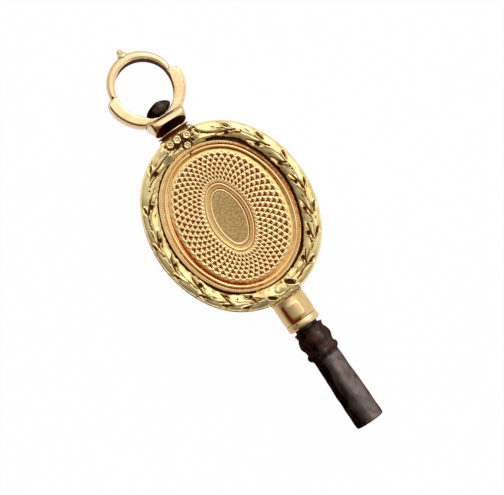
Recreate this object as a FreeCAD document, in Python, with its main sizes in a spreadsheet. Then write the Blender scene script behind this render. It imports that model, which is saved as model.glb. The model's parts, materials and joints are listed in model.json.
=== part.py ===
import FreeCAD, Part
import math
import os
import re
import Sketcher

# A pocket watch key: an oval two-shell frame with engine-turned plates, a swivelling bow
# at the top and a steel winding pipe at the bottom. It lies on its back shell.
# Each piece is drawn in the key's own frame: the oval's centre is the origin, the bow is
# towards +Y and the front plate faces +Z. Placements then lay the key down and tip the bow.

# Driving dimensions in millimetres and degrees
SIZES = {
    # Oval frame, drawn with four tangent arcs, the end arcs a step tighter than its half width
    "oval_half_length": 11.46,
    "oval_half_width": 9.86,
    "oval_end_step": 0.57,
    "shell_wall": 0.35,
    "band_width": 2.27,
    "band_half_depth": 2.55,
    "band_side_height": 1.4,
    "band_crest_inset": 1.2,
    "band_inner_height": 2.0,
    "ledge_height": 1.2,
    "apron_half_width": 2.05,
    "apron_end_height": 2.2,
    "apron_stand": 0.04,
    "apron_root": 0.3,
    "apron_reach": 1.15,
    "apron_drop": 0.1,
    # Plates, bezels and filling
    "plate_gap": 0.03,
    "plate_thickness": 0.3,
    "bezel_width": 1.15,
    "bezel_height": 0.22,
    "bezel_plain_width": 0.28,
    "reed_width": 0.3,
    "reed_height": 0.12,
    "field_height": 0.05,
    "cartouche_half_length": 4.28,
    "cartouche_half_width": 2.49,
    "cartouche_end_radius": 1.55,
    "cartouche_frame_width": 0.75,
    "cartouche_ridge_width": 0.24,
    "cartouche_ridge_height": 0.12,
    "cartouche_lean": 5.5,
    "tail_room_radius": 1.02,
    "tail_room_length": 1.3,
    # Neck
    "neck_length": 0.5,
    "neck_root_radius": 2.0,
    "neck_cove_radius": 1.75,
    "neck_flange_radius": 2.1,
    "neck_flange_thickness": 0.2,
    "neck_tube_radius": 0.8,
    "neck_tube_length": 1.8,
    # Rivet and burr
    "shank_radius": 0.42,
    "shank_clearance": 0.04,
    "head_radius": 1.61,
    "head_lift": 0.14,
    "head_underside": 0.64,
    "head_edge_height": 0.22,
    "head_dome": 0.7,
    "burr_radius": 0.8,
    "burr_thickness": 0.3,
    "burr_play": 0.05,
    "tail_radius": 0.62,
    "tail_height": 0.28,
    # Bow: collar and ring with its leaf shoulders
    "swivel_gap": 0.36,
    "collar_length": 1.5,
    "collar_mouth_radius": 2.07,
    "collar_lip": 0.32,
    "collar_web": 0.35,
    "collar_roof_radius": 0.8,
    "hole_throat_radius": 0.47,
    "hole_flare_radius": 0.55,
    "bow_depth": 1.4,
    "bow_foot_half_width": 2.43,
    "bow_seat_height": 0.24,
    "seat_clearance": 0.17,
    "seat_wall_height": 1.3,
    "shoulder_radius": 4.85,
    "shoulder_centre": 4.15,
    "shoulder_tip_height": 4.88,
    "shoulder_tip_rounding": 0.45,
    "opening_radius": 3.35,
    "opening_centre": 4.3,
    "opening_side_radius": 4.35,
    "ring_radius": 4.08,
    "ring_centre": 4.77,
    "ring_rounding": 0.5,
    "finial_height": 0.95,
    "finial_root_radius": 0.6,
    "finial_tip_radius": 0.3,
    "finial_root_depth": 0.5,
    "bow_droop": 9.0,
    "bow_twist": 12.0,
    # Ferrule
    "ferrule_length": 3.78,
    "ferrule_radius": 2.09,
    "ferrule_straight": 1.6,
    "ferrule_waist_radius": 1.97,
    "ferrule_bead_length": 0.95,
    "ferrule_crest_length": 0.63,
    "ferrule_bead_radius": 2.05,
    "ferrule_end_radius": 1.85,
    "solder_gap": 0.01,
    # Steel pipe with its turned baluster
    "tang_radius": 1.0,
    "tang_length": 7.0,
    "stub_radius": 1.41,
    "stub_length": 0.35,
    "brim_radius": 1.88,
    "brim_length": 0.13,
    "upper_waist_radius": 1.74,
    "upper_waist_length": 0.62,
    "belly_radius": 2.04,
    "belly_rise": 0.98,
    "belly_fall": 0.29,
    "belly_edge_radius": 1.98,
    "lower_waist_radius": 1.78,
    "lower_waist_length": 0.78,
    "bead_radius": 2.02,
    "bead_root_radius": 1.72,
    "bead_length": 0.92,
    "pipe_root_radius": 1.65,
    "undercut_length": 0.3,
    "pipe_length": 9.05,
    "pipe_tip_radius": 1.79,
    "pipe_straight": 3.0,
    "pipe_tip_rounding": 0.2,
    "socket_width": 1.5,
    "socket_depth": 5.0,
    "drill_radius": 0.68,
    "drill_depth": 6.3,
    "drill_point": 0.45,
}

# Distances along the key that several pieces share
END_FACE = "(oval_half_length + apron_stand)"
PIVOT = "(" + END_FACE + " + neck_length + swivel_gap + collar_length)"
BOW_TOP = "(ring_centre + ring_radius + finial_height)"
BALUSTER = (
    "(stub_length + brim_length + upper_waist_length + belly_rise + belly_fall"
    " + lower_waist_length + bead_length + undercut_length)"
)
PIPE_REACH = "(" + END_FACE + " + ferrule_length + " + BALUSTER + " + pipe_length)"
KEY_OFFSET = "((" + PIPE_REACH + " - " + PIVOT + " - " + BOW_TOP + " * cos(bow_droop)) / 2)"

doc = FreeCAD.newDocument("WatchKey")
sheet = doc.addObject("Spreadsheet::Sheet", "Sizes")
for row, (alias, value) in enumerate(SIZES.items(), 1):
    sheet.set("A%d" % row, alias)
    sheet.set("B%d" % row, str(value))
    sheet.setAlias("B%d" % row, alias)
doc.recompute()


def bound(text):
    """The same expression with each size's name as a reference to its cell."""
    return re.sub(r"[a-z]\w+", lambda word: "Sizes." * (word[0] in SIZES) + word[0], text)


def amount(text):
    return float(sheet.evalExpression(bound(text)))


def piece(name, turn_axis=(0, 0, 1), turn=0):
    """A body in the key's frame, turned about one of its axes and laid on the back shell."""
    body = doc.addObject("PartDesign::Body", name)
    body.Label = name
    place = "placement(vector(0; %s; band_half_depth); rotation(vector(%d; %d; %d); %d))"
    body.setExpression("Placement", bound(place % (KEY_OFFSET, *turn_axis, turn)))
    return body


def bow_piece(name):
    """A body drawn from the bow's pivot, twisted about the bow's axis and drooping."""
    body = doc.addObject("PartDesign::Body", name)
    body.Label = name
    place = (
        "placement(vector(0; %s + %s; band_half_depth);"
        " rotation(vector(1; 0; 0); -bow_droop) * rotation(vector(0; 1; 0); bow_twist))"
    )
    body.setExpression("Placement", bound(place % (KEY_OFFSET, PIVOT)))
    return body


def sketch_on(body, role, name, lift="0", turn="0"):
    """A sketch on one of the body's origin planes, lifted along and turned about its normal."""
    sketch = body.newObject("Sketcher::SketchObject", name)
    sketch.Label = body.Label + " " + name
    plane = [feature for feature in body.Origin.OriginFeatures if feature.Role == role][0]
    sketch.AttachmentSupport = (plane, "")
    sketch.MapMode = "FlatFace"
    offset = "placement(vector(0; 0; %s); rotation(vector(0; 0; 1); %s))" % (lift, turn)
    sketch.setExpression("AttachmentOffset", bound(offset))
    return sketch


def fix(sketch, kind, where, text):
    """A dimension whose value follows the sheet."""
    index = sketch.addConstraint(Sketcher.Constraint(kind, *where, amount(text)))
    sketch.setExpression("Constraints[%d]" % index, bound(text))


def arc_between(start, end, manner):
    """The arc from start to end that runs level or upright at the named one of them, and
    whether it goes anticlockwise."""
    flat, at = manner.split()
    near, far = (start, end) if at == "first" else (end, start)
    step = far - near
    if flat == "level":
        centre = near + FreeCAD.Vector(0, step.Length ** 2 / (2 * step.y), 0)
    else:
        centre = near + FreeCAD.Vector(step.Length ** 2 / (2 * step.x), 0, 0)
    rim = Part.Circle(centre, FreeCAD.Vector(0, 0, 1), (near - centre).Length)
    forward = (start - centre).cross(end - centre).z > 0
    first, last = (start, end) if forward else (end, start)
    begin = math.atan2(first.y - centre.y, first.x - centre.x)
    sweep = (first - centre).getAngle(last - centre)
    return Part.ArcOfCircle(rim, begin, begin + sweep), forward


def outline(sketch, corners):
    """A closed outline. Each corner is a pair of expressions, and a third word makes the
    edge that leads to it an arc: level or upright, at its first or last end."""
    points = [FreeCAD.Vector(amount(corner[0]), amount(corner[1]), 0) for corner in corners]
    ends = []
    for index, corner in enumerate(corners):
        start, end = points[index - 1], points[index]
        if len(corner) == 2:
            edge = sketch.addGeometry(Part.LineSegment(start, end))
            ends.append((edge, 1, 2))
            continue
        arc, forward = arc_between(start, end, corner[2])
        edge = sketch.addGeometry(arc)
        first, last = (1, 2) if forward else (2, 1)
        ends.append((edge, first, last))
        flat, at = corner[2].split()
        across = "Vertical" if flat == "level" else "Horizontal"
        touch = first if at == "first" else last
        sketch.addConstraint(Sketcher.Constraint(across, edge, 3, edge, touch))
    for index, (edge, first, last) in enumerate(ends):
        before = ends[index - 1]
        sketch.addConstraint(Sketcher.Constraint("Coincident", before[0], before[2], edge, first))
        fix(sketch, "DistanceX", (-1, 1, edge, last), corners[index][0])
        fix(sketch, "DistanceY", (-1, 1, edge, last), corners[index][1])


def oval(sketch, half_length, half_width, end_radius):
    """An oval of four tangent arcs, its right arc split on the X axis."""
    long, wide, end = amount(half_length), amount(half_width), amount(end_radius)
    side = ((long - end) ** 2 + wide ** 2 - end ** 2) / (2 * (wide - end))
    meet = math.atan2(long - end, side - wide)
    turn, up = math.pi, FreeCAD.Vector(0, 0, 1)
    arcs = []
    for x, y, radius, begin, finish in (
        (wide - side, 0, side, 0, meet),
        (0, long - end, end, meet, turn - meet),
        (side - wide, 0, side, turn - meet, turn + meet),
        (0, end - long, end, turn + meet, 2 * turn - meet),
        (wide - side, 0, side, 2 * turn - meet, 2 * turn),
    ):
        circle = Part.Circle(FreeCAD.Vector(x, y, 0), up, radius)
        arcs.append(sketch.addGeometry(Part.ArcOfCircle(circle, begin, finish)))
    for index in range(4):
        joint = Sketcher.Constraint("Tangent", arcs[index], 2, arcs[index + 1], 1)
        sketch.addConstraint(joint)
    right_top, top, left, bottom, right_bottom = arcs
    sketch.addConstraint(Sketcher.Constraint("Coincident", right_bottom, 2, right_top, 1))
    sketch.addConstraint(Sketcher.Constraint("Coincident", right_bottom, 3, right_top, 3))
    sketch.addConstraint(Sketcher.Constraint("PointOnObject", top, 3, -2))
    fix(sketch, "Radius", (top,), end_radius)
    fix(sketch, "Radius", (bottom,), end_radius)
    sketch.addConstraint(Sketcher.Constraint("PointOnObject", right_top, 1, -1))
    fix(sketch, "DistanceX", (-1, 1, right_top, 1), half_width)
    fix(sketch, "DistanceY", (-1, 1, top, 3), "%s - (%s)" % (half_length, end_radius))
    sketch.addConstraint(Sketcher.Constraint("Equal", right_top, left))
    sketch.addConstraint(Sketcher.Constraint("Symmetric", top, 3, bottom, 3, -1, 1))


def frame_oval(sketch, inset):
    """The frame's oval, drawn in by the inset."""
    oval(
        sketch,
        "oval_half_length - (%s)" % inset,
        "oval_half_width - (%s)" % inset,
        "oval_half_width - oval_end_step - (%s)" % inset,
    )


def feature(body, kind, name, sketch, **properties):
    """A sketched feature of the body. A property given as text is bound to the sheet."""
    made = body.newObject("PartDesign::" + kind, name)
    made.Label = body.Label + " " + name
    made.Profile = (sketch, [""])
    for prop, value in properties.items():
        if isinstance(value, str):
            made.setExpression(prop, bound(value))
        else:
            setattr(made, prop, value)
    return made


def turned(body, kind, name, sketch):
    """A Revolution or Groove right round the piece's axis."""
    return feature(body, kind, name, sketch, ReferenceAxis=(sketch, ["V_Axis"]), Angle=360)


def swept(body, name, section, spine):
    return feature(body, "AdditivePipe", name, section, Spine=(spine, [""]))


def circle(sketch, radius, height="0"):
    """A circle centred on the sketch's Y axis."""
    centre = FreeCAD.Vector(0, amount(height), 0)
    rim = Part.Circle(centre, FreeCAD.Vector(0, 0, 1), amount(radius))
    edge = sketch.addGeometry(rim)
    fix(sketch, "Radius", (edge,), radius)
    fix(sketch, "DistanceY", (-1, 1, edge, 3), height)
    sketch.addConstraint(Sketcher.Constraint("PointOnObject", edge, 3, -2))


def frame_shell(name, turn):
    """One stamped half of the frame: a hollow convex band round the oval, with an apron at
    each end where the neck and the ferrule are soldered on."""
    body = piece(name, (0, 1, 0), turn)
    spine = sketch_on(body, "XY_Plane", "spine")
    frame_oval(spine, "0")
    section = sketch_on(body, "XZ_Plane", "section")
    outer, crest = "oval_half_width", "oval_half_width - band_crest_inset"
    inner = "oval_half_width - band_width"
    outline(section, [
        (outer, "0"),
        (outer, "band_side_height"),
        (crest, "band_half_depth", "level last"),
        (inner, "band_inner_height", "level first"),
        (inner, "ledge_height"),
        (inner + " + shell_wall", "ledge_height"),
        (inner + " + shell_wall", "band_inner_height - shell_wall"),
        (crest, "band_half_depth - shell_wall", "level last"),
        (outer + " - shell_wall", "band_side_height", "level first"),
        (outer + " - shell_wall", "0"),
    ])
    swept(body, "band", section, spine)
    side = sketch_on(body, "YZ_Plane", "apron_section")
    reach, root = "oval_half_length - apron_reach", "oval_half_length - apron_root"
    outline(side, [
        (END_FACE, "0"),
        (END_FACE, "apron_end_height"),
        (reach, "band_half_depth - apron_drop", "level last"),
        (reach, "band_half_depth - shell_wall / 2"),
        (root, "band_side_height", "level first"),
        (root, "0"),
    ])
    apron = feature(body, "Pad", "apron", side, Length="2 * apron_half_width", Midplane=True)
    pattern = body.newObject("PartDesign::PolarPattern", "aprons")
    pattern.Label = name + " aprons"
    pattern.Originals = [apron]
    pattern.Axis = (spine, ["N_Axis"])
    pattern.Angle = 360
    pattern.Occurrences = 2
    body.Tip = pattern
    beyond = END_FACE + " + shell_wall"
    tube_hole = sketch_on(body, "XZ_Plane", "tube_hole")
    circle(tube_hole, "neck_tube_radius + solder_gap")
    feature(body, "Pocket", "tube_notch", tube_hole, Length=beyond)
    tang_hole = sketch_on(body, "XZ_Plane", "tang_hole")
    circle(tang_hole, "tang_radius + solder_gap")
    feature(body, "Pocket", "tang_notch", tang_hole, Length=beyond, Reversed=True)
    return body


def bezel(name, turn):
    """The reeded wire that holds a plate in its shell."""
    body = piece(name, (0, 1, 0), turn)
    spine = sketch_on(body, "XY_Plane", "spine")
    frame_oval(spine, "band_width + plate_gap")
    section = sketch_on(body, "XZ_Plane", "section")
    outer = "oval_half_width - band_width - plate_gap"
    floor = "ledge_height + plate_thickness"
    top = floor + " + bezel_height"
    corners = [(outer, floor), (outer, top), (outer + " - bezel_plain_width", top)]
    for reed in range(2):
        start = outer + " - bezel_plain_width - %d * reed_width" % reed
        corners.append((start + " - reed_width / 2", top + " + reed_height", "level last"))
        corners.append((start + " - reed_width", top, "level first"))
    corners.append((outer + " - bezel_width", floor))
    outline(section, corners)
    swept(body, "wire", section, spine)
    return body


def plate(name, turn):
    """A thin plate with a raised field and the two ridges of its leaning cartouche."""
    body = piece(name, (0, 1, 0), turn)
    sheet_edge = sketch_on(body, "XY_Plane", "edge", "ledge_height")
    frame_oval(sheet_edge, "band_width + plate_gap")
    feature(body, "Pad", "sheet", sheet_edge, Length="plate_thickness")
    top = "ledge_height + plate_thickness"
    field = sketch_on(body, "XY_Plane", "field_edge", top)
    frame_oval(field, "band_width + plate_gap + bezel_width + plate_gap")
    feature(body, "Pad", "field", field, Length="field_height")
    field_top = top + " + field_height"
    for ridge, inset in (("outer_ridge", "0"), ("inner_ridge", "cartouche_frame_width")):
        edges = sketch_on(body, "XY_Plane", ridge + "_edges", field_top, "-cartouche_lean")
        for drawn_in in (inset, inset + " + cartouche_ridge_width"):
            oval(
                edges,
                "cartouche_half_length - (%s)" % drawn_in,
                "cartouche_half_width - (%s)" % drawn_in,
                "cartouche_end_radius - (%s)" % drawn_in,
            )
        feature(body, "Pad", ridge, edges, Length="cartouche_ridge_height")
    return body


def filling():
    """The cement core between the shells, bored for the tang and for the rivet's tail."""
    body = piece("body_filler")
    edge = sketch_on(body, "XY_Plane", "edge")
    frame_oval(edge, "shell_wall + plate_gap")
    feature(body, "Pad", "core", edge, Length="2 * ledge_height", Midplane=True)
    bores = sketch_on(body, "XY_Plane", "bores")
    tube, tail = "neck_tube_radius + solder_gap", "tail_room_radius"
    tube_end = "oval_half_length - neck_tube_length"
    outline(bores, [
        ("0", "oval_half_length"),
        ("0", tube_end + " - tail_room_length"),
        (tail, tube_end + " - tail_room_length + tail_room_radius", "level first"),
        (tail, tube_end),
        (tube, tube_end),
        (tube, "oval_half_length"),
    ])
    turned(body, "Groove", "tail_bore", bores)
    tang_end = END_FACE + " + ferrule_length - tang_length"
    tang = sketch_on(body, "XZ_Plane", "tang_end", tang_end)
    circle(tang, "tang_radius + solder_gap")
    feature(body, "Pocket", "tang_bore", tang, Length="tang_length", Reversed=True)
    return body


def neck():
    """The turned neck: a flange over a cove, and a tube that carries the rivet."""
    body = piece("body_neck")
    profile = sketch_on(body, "XY_Plane", "profile")
    foot = END_FACE
    cove = foot + " + (neck_length - neck_flange_thickness) / 2"
    flange = foot + " + neck_length - neck_flange_thickness"
    top = foot + " + neck_length"
    bore = "shank_radius + shank_clearance"
    outline(profile, [
        (bore, "oval_half_length - neck_tube_length"),
        ("neck_tube_radius", "oval_half_length - neck_tube_length"),
        ("neck_tube_radius", foot),
        ("neck_root_radius", foot),
        ("neck_cove_radius", cove, "upright last"),
        ("neck_flange_radius", flange, "upright first"),
        ("neck_flange_radius", top),
        (bore, top),
    ])
    turned(body, "Revolution", "turning", profile)
    return body


def rivet():
    """The steel swivel rivet, with a domed head inside the bow and an upset tail."""
    body = piece("swivel_rivet")
    profile = sketch_on(body, "XY_Plane", "profile")
    burr_top = "oval_half_length - neck_tube_length - burr_play"
    burr_foot = burr_top + " - burr_thickness"
    head = PIVOT + " + bow_seat_height + head_lift"
    outline(profile, [
        ("0", burr_foot + " - tail_height"),
        ("tail_radius", burr_foot, "upright last"),
        ("shank_radius", burr_foot),
        ("shank_radius", head),
        ("head_radius", head + " + head_underside", "level first"),
        ("head_radius", head + " + head_underside + head_edge_height"),
        ("0", head + " + head_underside + head_edge_height + head_dome", "level last"),
    ])
    turned(body, "Revolution", "turning", profile)
    return body


def burr():
    """The washer that the rivet's tail is closed over."""
    body = piece("rivet_burr")
    profile = sketch_on(body, "XY_Plane", "profile")
    top = "oval_half_length - neck_tube_length - burr_play"
    hole = "shank_radius + solder_gap"
    outline(profile, [
        (hole, top + " - burr_thickness"),
        ("burr_radius", top + " - burr_thickness"),
        ("burr_radius", top),
        (hole, top),
    ])
    turned(body, "Revolution", "washer", profile)
    return body


def bow_ring():
    """The cast bow: a round-edged ring on two flat leaf shoulders, with a finial."""
    body = bow_piece("bow_ring")
    disc = sketch_on(body, "XY_Plane", "ring_edge")
    circle(disc, "ring_radius", "ring_centre")
    ring = feature(body, "Pad", "ring", disc, Length="bow_depth", Midplane=True)
    doc.recompute()
    rounding = body.newObject("PartDesign::Fillet", "ring_rounding")
    rounding.Base = (ring, round_edges(ring, amount("ring_radius")))
    rounding.setExpression("Radius", bound("ring_rounding"))
    leaves = sketch_on(body, "XY_Plane", "leaf_edge")
    leaf_outline(leaves)
    feature(body, "Pad", "leaf_shoulders", leaves, Length="bow_depth", Midplane=True)
    profile = sketch_on(body, "XY_Plane", "finial_profile")
    crown = "ring_centre + ring_radius"
    outline(profile, [
        ("0", crown + " - finial_root_depth"),
        ("finial_root_radius", crown + " - finial_root_depth"),
        ("finial_root_radius", crown + " - finial_tip_radius / 2"),
        ("finial_tip_radius", crown + " + finial_height - finial_tip_radius", "upright last"),
        ("0", crown + " + finial_height", "level last"),
    ])
    turned(body, "Revolution", "finial", profile)
    opening = sketch_on(body, "XY_Plane", "opening_edge")
    opening_outline(opening)
    feature(body, "Pocket", "opening", opening, Length="2 * bow_depth", Midplane=True)
    seat = sketch_on(body, "XY_Plane", "seat_profile")
    outline(seat, [
        ("0", "0"),
        ("hole_throat_radius", "0"),
        ("hole_flare_radius", "bow_seat_height"),
        ("head_radius + seat_clearance", "bow_seat_height"),
        ("head_radius + seat_clearance", "bow_seat_height + seat_wall_height"),
        ("0", "bow_seat_height + seat_wall_height"),
    ])
    turned(body, "Groove", "rivet_seat", seat)
    return body


def round_edges(made, radius):
    """Names of the feature's circular edges of this radius."""
    names = []
    for number, edge in enumerate(made.Shape.Edges, 1):
        if isinstance(edge.Curve, Part.Circle) and abs(edge.Curve.Radius - radius) < 1e-6:
            names.append("Edge%d" % number)
    return names


def leaf_outline(sketch):
    """The two leaves as one flat shape: a round back from the foot up to each tip."""
    long, foot = "shoulder_tip_height", "bow_foot_half_width"
    radius, centre = amount("shoulder_radius"), amount("shoulder_centre")
    tip, rounding = amount(long), amount("shoulder_tip_rounding")
    reach = math.sqrt((radius - rounding) ** 2 - (tip - rounding - centre) ** 2)
    lower = math.atan2(-centre, amount(foot))
    upper = math.atan2(tip - rounding - centre, reach)
    up, edges = FreeCAD.Vector(0, 0, 1), []
    back = Part.Circle(FreeCAD.Vector(0, centre, 0), up, radius)
    turn = math.pi
    edges.append(sketch.addGeometry(Part.ArcOfCircle(back, lower, upper)))
    right_tip = Part.Circle(FreeCAD.Vector(reach, tip - rounding, 0), up, rounding)
    edges.append(sketch.addGeometry(Part.ArcOfCircle(right_tip, upper, turn / 2)))
    right, left = FreeCAD.Vector(reach, tip, 0), FreeCAD.Vector(-reach, tip, 0)
    edges.append(sketch.addGeometry(Part.LineSegment(right, left)))
    left_tip = Part.Circle(FreeCAD.Vector(-reach, tip - rounding, 0), up, rounding)
    edges.append(sketch.addGeometry(Part.ArcOfCircle(left_tip, turn / 2, turn - upper)))
    edges.append(sketch.addGeometry(Part.ArcOfCircle(back, turn - upper, turn - lower)))
    heel = FreeCAD.Vector(amount(foot), 0, 0)
    edges.append(sketch.addGeometry(Part.LineSegment(FreeCAD.Vector(-heel.x, 0, 0), heel)))
    right_back, right_round, top, left_round, left_back, sole = edges
    for one, two in ((right_back, right_round), (right_round, top), (top, left_round),
                     (left_round, left_back)):
        sketch.addConstraint(Sketcher.Constraint("Tangent", one, 2, two, 1))
    sketch.addConstraint(Sketcher.Constraint("Coincident", left_back, 2, sole, 1))
    sketch.addConstraint(Sketcher.Constraint("Coincident", sole, 2, right_back, 1))
    sketch.addConstraint(Sketcher.Constraint("Coincident", left_back, 3, right_back, 3))
    sketch.addConstraint(Sketcher.Constraint("PointOnObject", right_back, 3, -2))
    sketch.addConstraint(Sketcher.Constraint("PointOnObject", sole, 2, -1))
    sketch.addConstraint(Sketcher.Constraint("PointOnObject", sole, 1, -1))
    fix(sketch, "Radius", (right_back,), "shoulder_radius")
    fix(sketch, "DistanceX", (-1, 1, sole, 2), foot)
    fix(sketch, "DistanceY", (-1, 1, top, 1), long)
    fix(sketch, "Radius", (right_round,), "shoulder_tip_rounding")
    fix(sketch, "Radius", (left_round,), "shoulder_tip_rounding")


def opening_outline(sketch):
    """The bow's opening: round at the top, with longer side arcs down to the rivet's seat."""
    up = FreeCAD.Vector(0, 0, 1)
    radius, centre = amount("opening_radius"), amount("opening_centre")
    side, seat = amount("opening_side_radius"), amount("bow_seat_height")
    shift = side - radius
    reach = math.sqrt(side ** 2 - (centre - seat) ** 2) - shift
    fall = math.asin((centre - seat) / side)
    top = Part.Circle(FreeCAD.Vector(0, centre, 0), up, radius)
    left = Part.Circle(FreeCAD.Vector(shift, centre, 0), up, side)
    right = Part.Circle(FreeCAD.Vector(-shift, centre, 0), up, side)
    head = sketch.addGeometry(Part.ArcOfCircle(top, 0, math.pi))
    left_side = sketch.addGeometry(Part.ArcOfCircle(left, math.pi, math.pi + fall))
    foot = sketch.addGeometry(Part.LineSegment(
        FreeCAD.Vector(-reach, seat, 0), FreeCAD.Vector(reach, seat, 0)))
    right_side = sketch.addGeometry(Part.ArcOfCircle(right, -fall, 0))
    sketch.addConstraint(Sketcher.Constraint("Tangent", head, 2, left_side, 1))
    sketch.addConstraint(Sketcher.Constraint("Coincident", left_side, 2, foot, 1))
    sketch.addConstraint(Sketcher.Constraint("Coincident", foot, 2, right_side, 1))
    sketch.addConstraint(Sketcher.Constraint("Tangent", right_side, 2, head, 1))
    sketch.addConstraint(Sketcher.Constraint("PointOnObject", head, 3, -2))
    sketch.addConstraint(Sketcher.Constraint("Horizontal", foot))
    sketch.addConstraint(Sketcher.Constraint("Horizontal", head, 3, head, 1))
    sketch.addConstraint(Sketcher.Constraint("Horizontal", head, 3, head, 2))
    fix(sketch, "DistanceY", (-1, 1, head, 3), "opening_centre")
    fix(sketch, "Radius", (head,), "opening_radius")
    fix(sketch, "Radius", (left_side,), "opening_side_radius")
    fix(sketch, "Radius", (right_side,), "opening_side_radius")
    fix(sketch, "DistanceY", (-1, 1, foot, 1), "bow_seat_height")


def collar():
    """The bow's hollow collar: flat under the shoulders, round at its mouth."""
    body = bow_piece("bow_collar")
    roof = sketch_on(body, "XZ_Plane", "roof_edge")
    wide, deep = "bow_foot_half_width", "bow_depth / 2"
    outline(roof, [
        (wide, "-(%s)" % deep),
        (wide, deep),
        ("-" + wide, deep),
        ("-" + wide, "-(%s)" % deep),
    ])
    mouth = sketch_on(body, "XZ_Plane", "mouth_edge", "collar_length")
    quarters(mouth, "collar_mouth_radius")
    loft = feature(body, "AdditiveLoft", "skin", roof)
    loft.Sections = [(mouth, [""])]
    loft.Ruled = True
    hollow = sketch_on(body, "XY_Plane", "hollow_profile")
    outline(hollow, [
        ("0", "0"),
        ("0", "-collar_length"),
        ("collar_mouth_radius - collar_lip", "-collar_length"),
        ("collar_roof_radius", "-collar_web"),
        ("hole_flare_radius", "-collar_web"),
        ("hole_throat_radius", "0"),
    ])
    turned(body, "Groove", "hollow", hollow)
    return body


def quarters(sketch, radius):
    """A circle as four arcs that meet on the diagonals, where the roof's corners lead."""
    arcs, turn = [], math.pi / 2
    rim = Part.Circle(FreeCAD.Vector(0, 0, 0), FreeCAD.Vector(0, 0, 1), amount(radius))
    for index in range(4):
        start = (index - 0.5) * turn
        arcs.append(sketch.addGeometry(Part.ArcOfCircle(rim, start, start + turn)))
    for index, arc in enumerate(arcs):
        after = arcs[(index + 1) % 4]
        sketch.addConstraint(Sketcher.Constraint("Coincident", arc, 2, after, 1))
        sketch.addConstraint(Sketcher.Constraint("Coincident", arc, 3, -1, 1))
        fix(sketch, "DistanceX", (-1, 1, arc, 2), "%s * cos(%d)" % (radius, 45 + 90 * index))
    fix(sketch, "Radius", (arcs[0],), radius)


def ferrule():
    """The gold ferrule: straight, then a faint waist and a bead at its end."""
    body = piece("ferrule", (0, 0, 1), 180)
    profile = sketch_on(body, "XY_Plane", "profile")
    start, bore = END_FACE, "tang_radius + solder_gap"
    end = start + " + ferrule_length"
    waist = end + " - ferrule_bead_length"
    outline(profile, [
        (bore, start),
        ("ferrule_radius", start),
        ("ferrule_radius", start + " + ferrule_straight"),
        ("ferrule_waist_radius", waist, "upright first"),
        ("ferrule_bead_radius", waist + " + ferrule_crest_length", "upright last"),
        ("ferrule_end_radius", end, "upright first"),
        (bore, end),
    ])
    turned(body, "Revolution", "turning", profile)
    return body


def pipe():
    """The steel pipe: a tang in the ferrule, a turned baluster and the square socket."""
    body = piece("key_pipe", (0, 0, 1), 180)
    profile = sketch_on(body, "XY_Plane", "profile")
    face = END_FACE + " + ferrule_length"
    stub = face + " + stub_length"
    brim = stub + " + brim_length"
    upper = brim + " + upper_waist_length"
    belly = upper + " + belly_rise"
    edge = belly + " + belly_fall"
    lower = edge + " + lower_waist_length"
    bead = lower + " + bead_length"
    root = bead + " + undercut_length"
    tip = root + " + pipe_length"
    outline(profile, [
        ("0", face + " - tang_length"),
        ("tang_radius", face + " - tang_length"),
        ("tang_radius", face),
        ("stub_radius", face),
        ("stub_radius", stub),
        ("brim_radius", brim),
        ("upper_waist_radius", upper, "upright last"),
        ("belly_radius", belly, "upright last"),
        ("belly_edge_radius", edge, "upright first"),
        ("lower_waist_radius", lower, "upright last"),
        ("bead_radius", lower + " + bead_length / 2", "upright last"),
        ("bead_root_radius", bead, "upright first"),
        ("pipe_root_radius", root, "upright last"),
        ("pipe_tip_radius", tip + " - pipe_straight"),
        ("pipe_tip_radius", tip + " - pipe_tip_rounding"),
        ("pipe_tip_radius - pipe_tip_rounding", tip, "level last"),
        ("0", tip),
    ])
    turned(body, "Revolution", "turning", profile)
    drill = sketch_on(body, "XY_Plane", "drill_profile")
    outline(drill, [
        ("0", tip + " - drill_depth - drill_point"),
        ("drill_radius", tip + " - drill_depth"),
        ("drill_radius", tip),
        ("0", tip),
    ])
    turned(body, "Groove", "drilling", drill)
    square = sketch_on(body, "XZ_Plane", "socket_edge", "-(%s)" % tip)
    half = "socket_width / 2"
    outline(square, [
        (half, "-" + half), (half, half), ("-" + half, half), ("-" + half, "-" + half),
    ])
    feature(body, "Pocket", "socket", square, Length="socket_depth", Reversed=True)
    return body


PIECES = [
    frame_shell("rim_front", 0),
    frame_shell("rim_back", 180),
    bezel("bezel_front", 0),
    bezel("bezel_back", 180),
    plate("plate_front", 0),
    plate("plate_back", 180),
    filling(),
    neck(),
    rivet(),
    burr(),
    bow_ring(),
    collar(),
    ferrule(),
    pipe(),
]
doc.recompute()

faults = []
for item in doc.Objects:
    if "Invalid" in item.State or "Error" in item.State:
        faults.append("%s: %s" % (item.Label, item.State))
for body in PIECES:
    if body.Shape.isNull() or not body.Shape.isValid() or not body.Shape.Solids:
        faults.append("%s has no valid solid" % body.Label)
if faults:
    raise RuntimeError("; ".join(faults))

os.makedirs("parts", exist_ok=True)
for body in PIECES:
    body.Shape.exportStep("parts/%s.step" % body.Label)
    box = body.Shape.BoundBox
    print("%-14s %9.3f mm3  %s" % (body.Label, body.Shape.Volume, box))
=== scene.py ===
"""The looks of a pocket watch key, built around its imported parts.

Lengths are in millimetres in the key's own frame, as a maker would draw it: the oval's centre
is the origin, the bow is towards +Y and the front plate faces +Z. placed() turns them into
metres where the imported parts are.
"""
import json
import math

import bmesh
import bpy
import numpy as np
from mathutils import Matrix, Vector


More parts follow.
